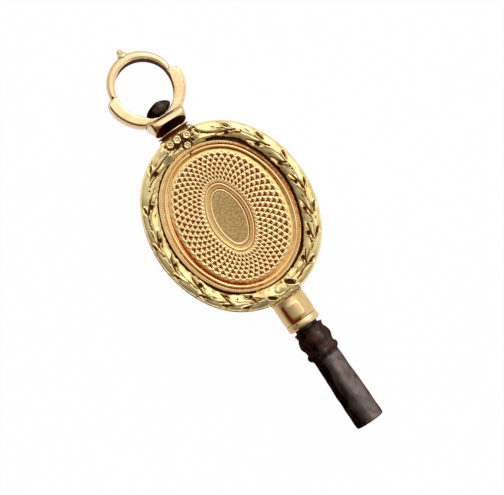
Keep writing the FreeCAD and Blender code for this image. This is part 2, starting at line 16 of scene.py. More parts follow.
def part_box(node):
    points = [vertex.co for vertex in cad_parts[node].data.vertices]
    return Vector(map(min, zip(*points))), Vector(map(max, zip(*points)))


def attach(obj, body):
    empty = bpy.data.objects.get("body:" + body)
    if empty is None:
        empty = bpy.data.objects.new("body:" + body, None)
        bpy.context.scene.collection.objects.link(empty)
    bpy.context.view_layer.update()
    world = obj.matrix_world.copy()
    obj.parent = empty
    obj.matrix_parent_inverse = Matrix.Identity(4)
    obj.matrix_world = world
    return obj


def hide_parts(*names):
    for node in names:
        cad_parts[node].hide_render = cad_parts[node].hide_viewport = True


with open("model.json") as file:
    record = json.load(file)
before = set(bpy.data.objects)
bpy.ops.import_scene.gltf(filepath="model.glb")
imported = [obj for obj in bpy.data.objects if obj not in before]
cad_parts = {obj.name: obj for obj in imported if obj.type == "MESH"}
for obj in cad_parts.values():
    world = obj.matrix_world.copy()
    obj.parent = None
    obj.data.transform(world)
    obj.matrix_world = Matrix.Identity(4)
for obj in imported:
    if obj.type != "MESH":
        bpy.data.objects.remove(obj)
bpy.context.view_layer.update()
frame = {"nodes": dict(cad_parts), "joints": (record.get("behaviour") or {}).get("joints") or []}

MM = 0.001
TURN = 2 * math.pi
rim_low, rim_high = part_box("rim_front")
KEY = Matrix.Translation((0, (rim_low.y + rim_high.y) / 2, rim_low.z)) @ Matrix.Scale(MM, 4)
BACK = KEY @ Matrix.Rotation(math.pi, 4, "Y")
TAIL = KEY @ Matrix.Rotation(math.pi, 4, "Z")
RIVET = Matrix.Translation(Vector(frame["joints"][0]["pos_m"])) @ Matrix.Scale(MM, 4)
DROOP, TWIST = math.radians(9), math.radians(12)
BOW = RIVET @ Matrix.Rotation(-DROOP, 4, "X") @ Matrix.Rotation(TWIST, 4, "Y")

# The oval, its chased band and its plates
HALF_LENGTH, HALF_WIDTH, END_RADIUS = 11.46, 9.86, 9.29
SHELL_WALL, BAND_WIDTH, BAND_DEPTH = 0.35, 2.27, 2.55
SIDE_HEIGHT, CREST_INSET, INNER_HEIGHT, LEDGE = 1.4, 1.05, 2.1, 1.2
PLATE_EDGE, PLATE_THICKNESS = 2.3, 0.3
PLATE_TOP = LEDGE + PLATE_THICKNESS
NECK_FOOT = HALF_LENGTH + 0.04

# How near points are welded, and how short an edge is dropped, in millimetres
WELD, SLIVER = 1e-5, 1e-6


# ---- points and profiles

def arc_to(start, end, manner, step=0.06):
    """Points of the arc from start to end that runs level or upright at one of them."""
    flat, at = manner.split()
    near, far = (start, end) if at == "first" else (end, start)
    dx, dy = far[0] - near[0], far[1] - near[1]
    square = dx * dx + dy * dy
    centre = ((near[0], near[1] + square / (2 * dy)) if flat == "level"
              else (near[0] + square / (2 * dx), near[1]))
    radius = math.dist(centre, near)
    first = math.atan2(start[1] - centre[1], start[0] - centre[0])
    sweep = math.atan2(end[1] - centre[1], end[0] - centre[0]) - first
    sweep = (sweep + math.pi) % TURN - math.pi
    count = max(2, round(abs(sweep) * radius / step))
    angles = [first + sweep * i / count for i in range(1, count + 1)]
    return [(centre[0] + radius * math.cos(a), centre[1] + radius * math.sin(a)) for a in angles]


def profile(corners, closed=False):
    """A line of points through corners; a third word in a corner makes its edge an arc."""
    points = [] if closed else [corners[0][:2]]
    for index in range(0 if closed else 1, len(corners)):
        start, corner = corners[index - 1][:2], corners[index]
        points += arc_to(start, corner[:2], corner[2]) if len(corner) == 3 else [corner[:2]]
    return points


def softened(points, radius, closed=False, bend=0.45):
    """The same line with each sharp corner rounded off."""
    out, count = [], len(points)
    for index, point in enumerate(points):
        if not closed and index in (0, count - 1):
            out.append(point)
            continue
        here = np.array(point)
        before = np.array(points[index - 1]) - here
        after = np.array(points[(index + 1) % count]) - here
        long, next_long = np.linalg.norm(before), np.linalg.norm(after)
        turn = math.pi - math.acos(np.clip(before @ after / (long * next_long), -1, 1))
        if turn < bend:
            out.append(point)
            continue
        start = here + before / long * min(radius, long * 0.45)
        end = here + after / next_long * min(radius, next_long * 0.45)
        for part in (0, 0.25, 0.5, 0.75, 1):
            near = start + (here - start) * part
            out.append(tuple(near + (here + (end - here) * part - near) * part))
    return out


def spaced(points, step):
    """The same line with points added where they are further apart than the step."""
    points, out = np.array(points), []
    for start, end in zip(points[:-1], points[1:]):
        parts = max(1, math.ceil(np.linalg.norm(end - start) / step))
        out += [start + (end - start) * part / parts for part in range(parts)]
    return np.array([*out, points[-1]])


def drawn(corners, soft, step):
    """A line through corners, softened, with points at least every step."""
    return spaced(softened(profile(corners), soft), step)


def ripple(points, size, seed, waves=14):
    """A smooth uneven field between about -1 and 1, with features of the given size."""
    chance = np.random.default_rng(seed)
    points = np.asarray(points, float)
    ways = chance.normal(size=(waves, points.shape[-1]))
    ways *= ((TURN / size) * chance.uniform(0.6, 1.4, waves)
             / np.linalg.norm(ways, axis=1))[:, None]
    phases = chance.uniform(0, TURN, waves)
    return np.sin(points @ ways.T + phases).sum(-1) / math.sqrt(waves)


def smooth(low, high, value):
    """A soft step from 0 at low up to 1 at high."""
    part = np.clip((np.asarray(value, float) - low) / (high - low), 0, 1)
    return part * part * (3 - 2 * part)


def fading(low, high, value):
    """A soft step from 1 at low down to 0 at high."""
    return 1 - smooth(low, high, value)


def bump_at(value, centre, width):
    return np.exp(-((np.asarray(value) - centre) / width) ** 2)


def oval_loop(half_length, half_width, end_radius, count):
    """Points at even steps round a four-arc oval, clockwise from the top, the directions
    straight out of it, and its length."""
    lift = half_length - end_radius
    side = (lift ** 2 + half_width ** 2 - end_radius ** 2) / (2 * (half_width - end_radius))
    meet = math.atan2(lift, side - half_width)
    runs = (
        ((0, lift), end_radius, math.pi / 2, meet),
        ((half_width - side, 0), side, meet, -meet),
        ((0, -lift), end_radius, -meet, meet - math.pi),
        ((side - half_width, 0), side, meet - math.pi, -math.pi - meet),
        ((0, lift), end_radius, -math.pi - meet, -1.5 * math.pi),
    )
    lengths = np.array([radius * (first - last) for _, radius, first, last in runs])
    ends = np.cumsum(lengths)
    where = np.arange(count) * ends[-1] / count
    run = np.searchsorted(ends, where, side="right")
    points, outs = np.zeros((2, count, 2))
    for index, (centre, radius, first, _) in enumerate(runs):
        mine = run == index
        angle = first - (where[mine] - (ends[index] - lengths[index])) / radius
        outs[mine] = np.stack([np.cos(angle), np.sin(angle)], 1)
        points[mine] = np.array(centre) + radius * outs[mine]
    return points, outs, ends[-1]


# ---- meshes

def woven(rows, columns, rows_close=False, columns_close=True):
    """The quads of a grid of points that are numbered row by row."""
    row = np.arange(rows if rows_close else rows - 1)[:, None]
    column = np.arange(columns if columns_close else columns - 1)
    here, ahead, beside = row * columns, (row + 1) % rows * columns, (column + 1) % columns
    return np.stack([here + column, here + beside, ahead + beside, ahead + column],
                    -1).reshape(-1, 4)


def new_mesh(points, faces, **marks):
    """A mesh of the points, welded where they meet, wound outwards, with its marks as
    attributes."""
    mesh = bpy.data.meshes.new("mesh")
    mesh.from_pydata(np.reshape(points, (-1, 3)).tolist(), [], list(map(list, faces)))
    for mark, values in marks.items():
        layer = mesh.attributes.new(mark, "FLOAT", "POINT")
        layer.data.foreach_set("value", np.asarray(values, np.float32).ravel())
    work = bmesh.new()
    work.from_mesh(mesh)
    bmesh.ops.remove_doubles(work, verts=work.verts, dist=WELD)
    bmesh.ops.dissolve_degenerate(work, edges=work.edges, dist=SLIVER)
    if work.calc_volume(signed=True) < 0:
        bmesh.ops.reverse_faces(work, faces=work.faces)
    work.to_mesh(mesh)
    work.free()
    return mesh


def row_of(*values):
    """A row round a mesh: the x, y and z of its points, and then their marks."""
    return np.stack(np.broadcast_arrays(*values), -1)


def lofted(rows, *marks, closed=False):
    """A mesh through rows of points."""
    rows = np.stack(rows)
    return new_mesh(rows[..., :3], woven(*rows.shape[:2], closed),
                    **{mark: rows[..., 3 + index] for index, mark in enumerate(marks)})


def turned(line, sides=96, uneven=None, mark=None, lighter_side=1, shaped=None):
    """A piece turned round the Y axis from a line of (radius, height) points. Its mark for paler
    metal is high in front and behind, as wear, and on the lighter side, as painted light towards
    the lamps. It can be uneven by a share, with features of a size, from a seed, and then shaped by
    a function."""
    radius, height = np.asarray(line, float).T
    angle = np.arange(sides) * TURN / sides
    points = np.stack([np.outer(radius, np.cos(angle)), np.outer(height, 1 + 0 * angle),
                       np.outer(radius, np.sin(angle))], -1).reshape(-1, 3)
    if uneven:
        share, size, seed = uneven
        points[:, ::2] *= (1 + share * ripple(points, size, seed) / radius.max())[:, None]
    hollow = np.repeat(mark(radius, height) if mark else 0 * radius, sides)
    # Paler metal: wear in front and behind, painted light on the lighter side
    worn = np.tile(smooth(-0.1, 1.15, 0.62 * lighter_side * np.cos(angle) + 0.8 * np.abs(np.sin(angle))
                          - 0.1), len(radius))
    if shaped:
        shaped(points, hollow=hollow, worn=worn)
    return new_mesh(points, woven(len(radius), sides), hollow=hollow, worn=worn)


def joined(meshes):
    """One mesh out of several, with their attributes."""
    work = bmesh.new()
    for mesh in meshes:
        work.from_mesh(mesh)
    whole = bpy.data.meshes.new("mesh")
    work.to_mesh(whole)
    work.free()
    return whole


def linked(name, data):
    """An object in the scene."""
    thing = bpy.data.objects.new(name, data)
    bpy.context.scene.collection.objects.link(thing)
    return thing


def evaluated(thing, *tools):
    """The plain mesh that an object's modifiers make of it, which takes the object's place."""
    bpy.context.view_layer.update()
    mesh = bpy.data.meshes.new_from_object(
        thing.evaluated_get(bpy.context.evaluated_depsgraph_get()))
    thing.modifiers.clear()
    for old in (thing, *tools):
        bpy.data.objects.remove(old)
    return mesh


def placed(name, mesh, where, finish, body, slot, *nodes):
    """The finished piece: its place in its mesh, its finish, and the body that it rides."""
    mesh.name = name
    mesh.transform(where)
    mesh.polygons.foreach_set("use_smooth", [True] * len(mesh.polygons))
    mesh.materials.clear()
    mesh.materials.append(finish)
    mesh.update()
    piece = linked(name, mesh)
    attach(piece, body)
    if nodes:
        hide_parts(*nodes)


# ---- finishes

class Wiring:
    """A tree of nodes. What goes into a socket is a value or another node's output."""

    def __init__(self, tree):
        self.tree = tree
        tree.nodes.clear()

    def node(self, kind, inputs=(), **settings):
        made = self.tree.nodes.new(kind)
        for name, value in settings.items():
            setattr(made, name, value)
        for socket, value in dict(inputs).items():
            if isinstance(value, bpy.types.NodeSocket):
                self.tree.links.new(value, made.inputs[socket])
            else:
                made.inputs[socket].default_value = value
        return made

    def maths(self, operation, first, second=0.0):
        return self.node("ShaderNodeMath", {0: first, 1: second}, operation=operation).outputs[0]

    def spread(self, value, low, high, to_low, to_high):
        """A value from low to high, spread over another range."""
        return self.node("ShaderNodeMapRange", {
            0: value, 1: low, 2: high, 3: to_low, 4: to_high}).outputs[0]

    def noise(self, scale, detail=4.0, stretch=(1, 1, 1)):
        """Grain in the object's own space, drawn out along an axis."""
        place = self.node("ShaderNodeTexCoord").outputs["Object"]
        place = self.node("ShaderNodeMapping", {"Vector": place, "Scale": stretch}).outputs[0]
        return self.node("ShaderNodeTexNoise", {
            "Vector": place, "Scale": scale, "Detail": detail}).outputs["Fac"]

    def patchy(self, to_low, to_high, *grain, soft=0.2):
        """Patches of noise between two values."""
        return self.spread(self.noise(*grain), 0.5 - soft, 0.5 + soft, to_low, to_high)

    def blended(self, share, *pair):
        """A colour between two, each a colour or another node's output."""
        first, second = ((*c, 1) if isinstance(c, tuple) else c for c in pair)
        return self.node("ShaderNodeMix", {"Factor": share, "A": first, "B": second},
                         data_type="RGBA").outputs["Result"]

    def mark(self, name):
        return self.node("ShaderNodeAttribute", attribute_name=name).outputs["Fac"]

    def grainy(self, strength, distance, *grain):
        return self.node("ShaderNodeBump", {"Strength": strength, "Distance": distance,
                                            "Height": self.noise(*grain)}).outputs["Normal"]

    def surface(self, inputs):
        shader = self.node("ShaderNodeBsdfPrincipled", inputs)
        self.node("ShaderNodeOutputMaterial", {0: shader.outputs[0]})


def new_finish(name):
    finish = bpy.data.materials.new(name)
    finish.use_nodes = True
    return finish, Wiring(finish.node_tree)


def gold(name, bright, tone, amber, patina, rough=(0.10, 0.22), grain=0.25, dull=None,
         crest=(1.0, 0.86, 0.54)):
    """Gold with age on it: two tones in soft patches, fine hand scratches, an amber tint where the
    hollow mark rises and old dirt where it is high; in some places the hollow mark carries painted
    shade instead. Below nought the metal is pale, as on crests polished by handling, and in some
    places as a painted highlight. Where the satin mark is high it is dull and scratched."""
    finish, wires = new_finish(name)
    blended, spread = wires.blended, wires.spread
    hollow = wires.mark("hollow")
    ragged = wires.maths("ADD", hollow, wires.patchy(-0.18, 0.18, 2600))
    dirt = spread(ragged, 0.45, 0.90, 0, 1)
    roughness = wires.maths("ADD", wires.patchy(*rough, 3200, 6.0), spread(dirt, 0, 1, 0, 0.5))
    metal = blended(wires.patchy(0, 1, 700, soft=0.15), bright, tone)
    metal = blended(spread(hollow, -0.6, -0.05, 1, 0), metal, crest)
    if dull:
        satin = wires.mark("satin")
        mottled = blended(wires.patchy(0, 1, 4200, 6.0, soft=0.1), dull,
                          tuple(0.62 * share for share in dull))
        metal = blended(satin, metal, mottled)
        roughness = wires.maths("ADD", roughness, spread(satin, 0, 1, 0, 0.2))
    metal = blended(spread(ragged, 0.10, 0.50, 0, 1), metal, amber)
    wires.surface({
        "Base Color": blended(dirt, metal, patina), "Metallic": spread(dirt, 0, 0.7, 1, 0.05),
        "Roughness": roughness, "Specular IOR Level": 0.06,
        "Normal": wires.grainy(grain, 0.00002, 9000, 5.0)})
    return finish


def steel(name, pale, dark, rust):
    """Old dark steel: nearly black, paler grey where the mark for paler metal is high (wear, and
    painted light on the side towards the lamps), rusty patches, more of them where the hollow
    mark is high, and a pitted skin."""
    finish, wires = new_finish(name)
    worn = wires.maths("ADD", wires.mark("worn"),
                       wires.patchy(-0.22, 0.22, 1500, 8.0, (1, 0.35, 1)))
    skin = wires.blended(wires.spread(worn, 0.15, 0.95, 0, 1), dark, pale)
    blotches = wires.maths("ADD", wires.mark("hollow"), wires.noise(1700, 9.0, (1, 0.7, 1)))
    rusty = wires.spread(blotches, 0.50, 0.76, 0, 0.85)
    wires.surface({
        "Base Color": wires.blended(rusty, skin, rust),
        "Metallic": wires.spread(rusty, 0, 1, 1, 0.7), "Specular IOR Level": 0.15,
        "Roughness": wires.patchy(0.40, 0.56, 4200, 8.0),
        "Specular Tint": (0.35, 0.28, 0.24, 1),
        "Normal": wires.grainy(0.28, 0.00004, 5200, 9.0, (1, 0.6, 1))})
    return finish


def cement(name):
    finish, wires = new_finish(name)
    wires.surface({"Roughness": 0.8, "Base Color": wires.blended(
        wires.patchy(0, 1, 1800, 6.0), (0.16, 0.06, 0.03), (0.08, 0.03, 0.015))})
    return finish


GREEN_GOLD = gold("chased green gold", (0.95, 0.78, 0.40), (0.73, 0.54, 0.22),
                  (0.56, 0.27, 0.06), (0.10, 0.026, 0.005))
ROSE_GOLD = gold("engine-turned rose gold", (1.0, 0.78, 0.40), (1.0, 0.68, 0.28),
                 (0.98, 0.52, 0.14), (0.25, 0.028, 0.002), (0.20, 0.32),
                 dull=(0.63, 0.41, 0.165), crest=(1.0, 0.83, 0.45))
YELLOW_GOLD = gold("polished yellow gold", (0.77, 0.58, 0.34), (0.68, 0.49, 0.26),
                   (0.58, 0.30, 0.08), (0.11, 0.017, 0.003), grain=0.12)
FERRULE_GOLD = gold("brushed yellow gold", (0.81, 0.57, 0.29), (0.72, 0.49, 0.22),
                    (0.50, 0.24, 0.06), (0.20, 0.026, 0.002), (0.34, 0.48), 0.12)
DARK_STEEL = steel("dark worn steel", (0.20, 0.16, 0.14), (0.007, 0.003, 0.002),
                   (0.062, 0.019, 0.009))
CEMENT = cement("setting cement")


# ---- the band: a stamped shell, sunk where the leaves are chased on it

LOOP_STEPS = 1200
loop_points, loop_outs, LOOP_LENGTH = oval_loop(HALF_LENGTH, HALF_WIDTH, END_RADIUS, LOOP_STEPS)
ALONG = np.arange(LOOP_STEPS) * LOOP_LENGTH / LOOP_STEPS
FROM_END = np.minimum(np.minimum(ALONG, LOOP_LENGTH - ALONG), abs(ALONG - LOOP_LENGTH / 2))
band_line = profile([
    (0, SIDE_HEIGHT), (0, BAND_DEPTH - CREST_INSET), (CREST_INSET, BAND_DEPTH, "level last"),
    (CREST_INSET + 0.2, BAND_DEPTH - 0.02, "level first"), (2.15, 2.25),
    (BAND_WIDTH, INNER_HEIGHT, "upright last"),
])


def band_shell():
    """The stamped band with the laurel chased on it, and an inner edge that has drawn back
    unevenly.
    """
    top = spaced(band_line, 0.062)
    lip_inside = (BAND_WIDTH - SHELL_WALL, INNER_HEIGHT - SHELL_WALL - 0.1)
    # Fewer points will do where it isn't seen
    under = profile([lip_inside, (CREST_INSET, BAND_DEPTH - SHELL_WALL - 0.1, "level last"),
                     (SHELL_WALL, SIDE_HEIGHT, "level first"), (SHELL_WALL, 0), (0, 0)])[1::4]
    line = np.concatenate([
        top, [(BAND_WIDTH, LEDGE), (BAND_WIDTH - SHELL_WALL, LEDGE), lip_inside], under,
        [(SHELL_WALL, 0), (0, 0), (0, 0.12), (0, 0.7), (0, 1.3)]])
    slope = np.roll(line, -1, 0) - np.roll(line, 1, 0)
    slope /= np.linalg.norm(slope, axis=1)[:, None]
    count, insets = len(top), top[:, :1]
    height, hollow = laurel(
        np.append(0, np.cumsum(np.linalg.norm(np.diff(top, axis=0), axis=1))), top[:, 0])
    # Under the saddles the band is sunk out of their way
    under_saddle = smooth(0.15, 0.4, insets) * fading(1.8, 2.1, FROM_END)
    height = height * (1 - under_saddle) - 0.6 * under_saddle
    retreat = worn_lip()
    inward, tall = (np.repeat(line[:, [axis]], LOOP_STEPS, 1) for axis in (0, 1))
    inward[:count] -= slope[:count, 1:] * height + smooth(1.7, 2.1, insets) * retreat
    inward[count] -= retreat
    tall[:count] = np.minimum(tall[:count] + slope[:count, :1] * height, BAND_DEPTH)
    points = np.dstack([*np.moveaxis(loop_points - loop_outs * inward[..., None], -1, 0), tall])
    # Painted shade: the outer edge and the side wall darken towards the lower left, away from the
    # lamps
    left_shade = smooth(-0.3, 0.5, loop_outs @ (-0.75, -0.66))
    low_left_shade = smooth(0.3, 0.8, loop_outs @ (-0.8, -0.6))
    marks = np.full(tall.shape, 1.1)
    marks[:count] = np.maximum(np.where(insets > 2.24, 0.8, hollow),
                               0.75 * low_left_shade * fading(0.05, 0.25, insets))
    marks[[0, -3, -2, -1]] = 0.05 + 0.18 * left_shade
    return new_mesh(points, woven(len(line), LOOP_STEPS, True), hollow=marks)


def worn_lip():
    """How far the band's inner edge has drawn back from the bezel."""
    retreat = 0.02 + 0.03 * loop_outs @ (-0.8, 0.6)
    retreat += 0.03 * ripple(ALONG[:, None], 4.5, 13) + 0.025 * ripple(ALONG[:, None], 1.1, 14)
    for gap, at, wide in ((0.30, 7.0, 3.1), (0.24, LOOP_LENGTH - 25.4, 2.2), (0.12, 27.5, 1.5),
                          (0.16, LOOP_LENGTH - 16.8, 4.0), (0.09, 15.5, 4.0)):
        retreat += gap * bump_at(ALONG, at, wide)
    return np.clip(retreat, 0, 0.45)


LEAF_MIDDLE, LEAF_RISE, GROUND_DROP = 0.98, 0.13, 0.19
DOT_RADIUS, DOT_DEPTH = 0.15, 0.09
# Places on the band are (down from the bow's end, in from the outer edge); 1 is the right side.
# The hooks and forks then have a size and a run down the band; a fork may wrap round its hole.
HOOKS = {
    1: ((6.4, 1.55, 0.9, 1.9), (10.9, 1.65, 1.0, 2.6), (14.8, 1.75, 0.9, 0.9),
        (17.9, 1.50, 0.8, 2.7), (21.6, 1.70, 0.8, 1.6), (24.9, 1.65, 1.0, 1.3),
        (28.4, 1.70, 0.9, 1.0)),
    -1: ((5.5, 1.35, 1.1, 2.0), (10.0, 1.40, 1.0, 1.9), (14.4, 1.40, 0.9, 1.3),
         (18.1, 1.40, 0.8, 1.2), (22.2, 1.60, 1.0, 1.6), (26.0, 1.75, 0.6, 1.5),
         (29.5, 1.80, 0.7, 1.3)),
}
FORKS = {
    1: ((6.0, 0.52, 0.8, 1.2, 0), (10.3, 0.48, 0.9, 1.7, 0), (14.1, 0.45, 1.0, 1.9, 0),
        (18.2, 0.43, 1.0, 1.7, 0), (21.2, 0.38, 1.0, 2.6, 0), (24.4, 0.50, 1.1, 2.6, 1),
        (28.1, 0.54, 1.2, 2.0, 1)),
    -1: ((5.1, 0.45, 0.9, 1.5, 0), (10.3, 0.54, 0.9, 1.5, 0), (14.9, 0.35, 0.8, 1.3, 1),
         (19.2, 0.45, 0.9, 1.8, 1), (23.1, 0.54, 1.1, 3.8, 1), (26.1, 0.47, 1.2, 3.2, 1),
         (28.7, 0.38, 1.1, 2.0, 1)),
}
# Small drilled holes
DOTS = {
    1: ((8.2, 0.9), (15.9, 1.05), (16.3, 0.95), (19.0, 0.9), (19.6, 0.95), (20.1, 1.1),
        (23.4, 1.25), (26.0, 1.15)),
    -1: ((7.3, 1.1), (7.9, 1.1), (9.4, 1.6), (11.7, 0.85), (12.3, 0.85), (12.7, 0.85),
         (16.4, 0.85), (27.6, 1.5)),
}
# Cuts and ridges where the garland starts and ends: the kind, the line, its widths, the depth
ENDS = {
    1: (("groove", [(2.15, 0.1), (2.4, 0.8), (2.9, 1.2), (3.8, 1.45), (4.8, 1.5)],
         (0.16, 0.2, 0.16, 0.1, 0.05), 0.13),
        ("ridge", [(2.3, 0.2), (2.75, 0.7), (3.5, 1.05), (4.6, 1.2), (5.8, 1.05)],
         (0.12, 0.2, 0.22, 0.2, 0.08), 0.13),
        ("ridge", [(2.1, 2.0), (2.6, 1.7), (3.6, 1.75), (4.8, 1.7)], (0.2, 0.24, 0.2, 0.1), 0.13),
        ("ridge", [(28.9, 1.3), (30.0, 1.45), (31.6, 1.5)], (0.1, 0.18, 0.16), 0.12),
        ("groove", [(28.8, 0.85), (30.0, 0.95), (31.6, 0.9)], (0.06, 0.1, 0.1), 0.08),
        ("ridge", [(28.8, 0.45), (29.8, 0.65), (31.6, 0.7)], (0.1, 0.16, 0.14), 0.12)),
    -1: (("ridge", [(1.6, 1.5), (2.0, 1.2), (3.5, 1.15), (5.0, 1.08), (6.4, 0.95), (9.6, 0.98)],
          (0.18, 0.22, 0.22, 0.2, 0.14, 0.06), 0.14),
         ("groove", [(1.8, 1.5), (2.3, 1.34), (3.8, 1.33), (4.6, 1.3)], (0.07, 0.1, 0.1, 0.05),
          0.09),
         ("ridge", [(2.0, 0.3), (3.0, 0.62), (4.4, 0.85)], (0.14, 0.18, 0.1), 0.12),
         ("ridge", [(6.0, 1.62), (8.0, 1.45), (9.4, 1.25)], (0.08, 0.16, 0.1), 0.12),
         ("ridge", [(29.6, 0.75), (30.6, 0.95), (31.8, 1.0)], (0.1, 0.18, 0.16), 0.13),
         ("groove", [(29.7, 1.5), (30.5, 1.12), (31.7, 1.2)], (0.1, 0.12, 0.08), 0.1)),
}


def hook(down, inset, size, run):
    """A drilled hole in the crook of a ridge that starts as a lobe at the inner edge and
    runs out to the middle of the band, with a dark line along its outer side."""
    ridge = [(-1.45 * size, inset + 0.33), (-0.85 * size, inset + 0.27),
             (-0.2 * size, inset + 0.25), (0.27 * size, inset + 0.15), (0.24 * run, inset - 0.05),
             (0.42 * run, 0.4 * inset + 0.6), (0.64 * run, 1.04), (run, LEAF_MIDDLE)]
    shadow = [(-1.35 * size, inset + 0.02), (-0.6 * size, inset - 0.14), (0, inset - 0.32),
              (0.3 * run, 0.55 * inset + 0.22), (0.55 * run, 0.86)]
    return down, [
        ("ridge", ridge, (0.18, 0.30, 0.22, 0.21, 0.21, 0.19, 0.17, 0.08), 0.14),
        ("groove", shadow, (0.08, 0.14, 0.15, 0.14, 0.07), 0.12),
        ("hole", [(-0.08 * size, inset), (0.07 * size, inset)], (0.31 * size,) * 2, 0.25),
    ]


def fork(down, inset, size, run, wraps):
    """A long drilled hole near the outer edge, in the fork of two ridges. The longer one runs
    in to the middle of the band, and where it wraps it passes below the hole."""
    if wraps:
        ridge = [(0.05, inset - 0.40), (0.45, inset - 0.02), (0.42 * run, inset + 0.35),
                 (0.75 * run, inset + 0.52), (run, inset + 0.52)]
        other = [(-0.6, inset + 0.1), (-0.1, inset + 0.28), (0.5, inset + 0.36),
                 (1.1, inset + 0.62)]
    else:
        ridge = [(-0.45, inset - 0.08), (-0.06, inset + 0.30), (0.34 * run, inset + 0.42),
                 (0.7 * run, 0.93), (run, LEAF_MIDDLE)]
        other = [(-0.35, inset - 0.22), (0.1, inset - 0.24), (0.5, inset - 0.1),
                 (0.9, inset + 0.12)]
    return down, [
        ("ridge", ridge, (0.14, 0.21, 0.20, 0.17, 0.07), 0.13),
        ("ridge", other, (0.08, 0.14, 0.13, 0.05), 0.10),
        ("groove", [(0.3, inset + 0.08), (0.4 * run, inset + 0.25)], (0.17, 0.06), 0.09),
        ("hole", [(-0.2 * size, inset - 0.02), (0.2 * size, inset + 0.03)],
         (0.20 * size, 0.22 * size), 0.18),
    ]


def veins(side):
    """Short cuts along the leaves, which run in from the edges to the middle of the band."""
    chance = np.random.default_rng(31 + side)
    cuts = []
    for down in np.arange(4.2, 31, 0.75):
        inset = chance.uniform(0.45, 2.0)
        down, long = down + chance.uniform(-0.3, 0.3), chance.uniform(0.4, 1.1)
        drift = (0.95 - inset) * 0.45 * long
        cuts.append(("groove", [(down, inset), (down + 0.5 * long, inset + 0.7 * drift),
                                (down + long, inset + drift)], (0.05, 0.10, 0.03), 0.03))
    return cuts


def laurel(across, insets):
    """Height and dirt of the chasing over the band: a garland down each side."""
    height = 0.008 * ripple(np.stack(np.meshgrid(across, ALONG, indexing="ij"), -1), 1.7, 3)
    hollow, ridges, holes = np.zeros((3, *height.shape))

    def raised(field, columns, values):
        field[:, columns] = np.maximum(field[:, columns], values)

    for side in (1, -1):
        down = ALONG if side > 0 else LOOP_LENGTH - ALONG
        mine = np.flatnonzero(down < LOOP_LENGTH / 2 + 0.1)
        for leaves, near, far, slant, middle in ((HOOKS[side], 1.0, 2.2, 3.2, 1.65),
                                                 (FORKS[side], 0.15, 1.05, -3.0, 0.45)):
            slid = down[mine] + slant * (insets[:, None] - middle)
            share = np.interp(slid, [-3, *(leaf[0] for leaf in leaves), 36],
                              np.arange(len(leaves) + 2)) % 1
            zone = np.sin(math.pi * np.clip((insets - near) / (far - near), 0, 1))[:, None] ** 0.5
            height[:, mine] += LEAF_RISE * zone * share ** 0.5 * (1 - share ** 7)
            raised(hollow, mine, 0.95 * zone * bump_at(share, 0.975, 0.024))
        groups = [(0, ENDS[side]), (0, veins(side)), *(hook(*leaf) for leaf in HOOKS[side]),
                  *(fork(*leaf) for leaf in FORKS[side])]
        groups += [(at, [("hole", [(0, inset)] * 2, (DOT_RADIUS,) * 2, DOT_DEPTH)])
                   for at, inset in DOTS[side]]
        for start, strokes in groups:
            for kind, line, widths, size in strokes:
                widths = np.array(widths) * (1.3 if kind == "groove" else 1)
                columns, near = stroke_on(down, across, np.array(line) + (start, 0), widths, insets)
                if kind == "ridge":
                    raised(ridges, columns, size * smooth(0, 1, near))
                else:
                    sunk = smooth(0, 1 if kind == "groove" else 0.5, near)
                    raised(holes, columns, size * sunk)
                    raised(hollow, columns, (1.2 if kind == "groove" or size > 0.2 else 1) * sunk)
    beside = 0.75 * smooth(0.25, 0, ridges / 0.1) * smooth(0, 0.15, ridges / 0.1)
    beside -= 0.7 * smooth(0.5, 0.95, ridges / 0.14) * (hollow < 0.1)
    height += ridges - GROUND_DROP * smooth(0.1, 0.7, insets)[:, None] * (
        0.2 + 0.8 * smooth(2.0, 3.6, FROM_END))
    height = height * smooth(0.02, 0.25, insets)[:, None] - holes
    return height, np.where(hollow > 0.1, np.maximum(hollow, beside), beside)


def stroke_on(down, across, line, widths, insets):
    """How near each place is to a line, as a share of the line's width there: 1 on it and 0
    beside it. Only the steps round the band that it can reach are worked out."""
    at = line[:, 0]
    columns = np.flatnonzero((down > at.min() - 0.4) & (down < at.max() + 0.4))
    line = np.stack([at, np.interp(line[:, 1], insets, across)], 1)
    places = np.stack(np.broadcast_arrays(down[columns], across[:, None]), -1)
    near = np.zeros(places.shape[:2])
    for index in range(len(line) - 1):
        start, run = line[index], line[index + 1] - line[index]
        part = np.clip((places - start) @ run / max(run @ run, 1e-9), 0, 1)
        away = np.linalg.norm(places - start - part[..., None] * run, axis=-1)
        width = widths[index] + (widths[index + 1] - widths[index]) * part
        near = np.maximum(near, 1 - away / width)
    return columns, near


SADDLE_REACH, SKIRT = 2.5, 0.12


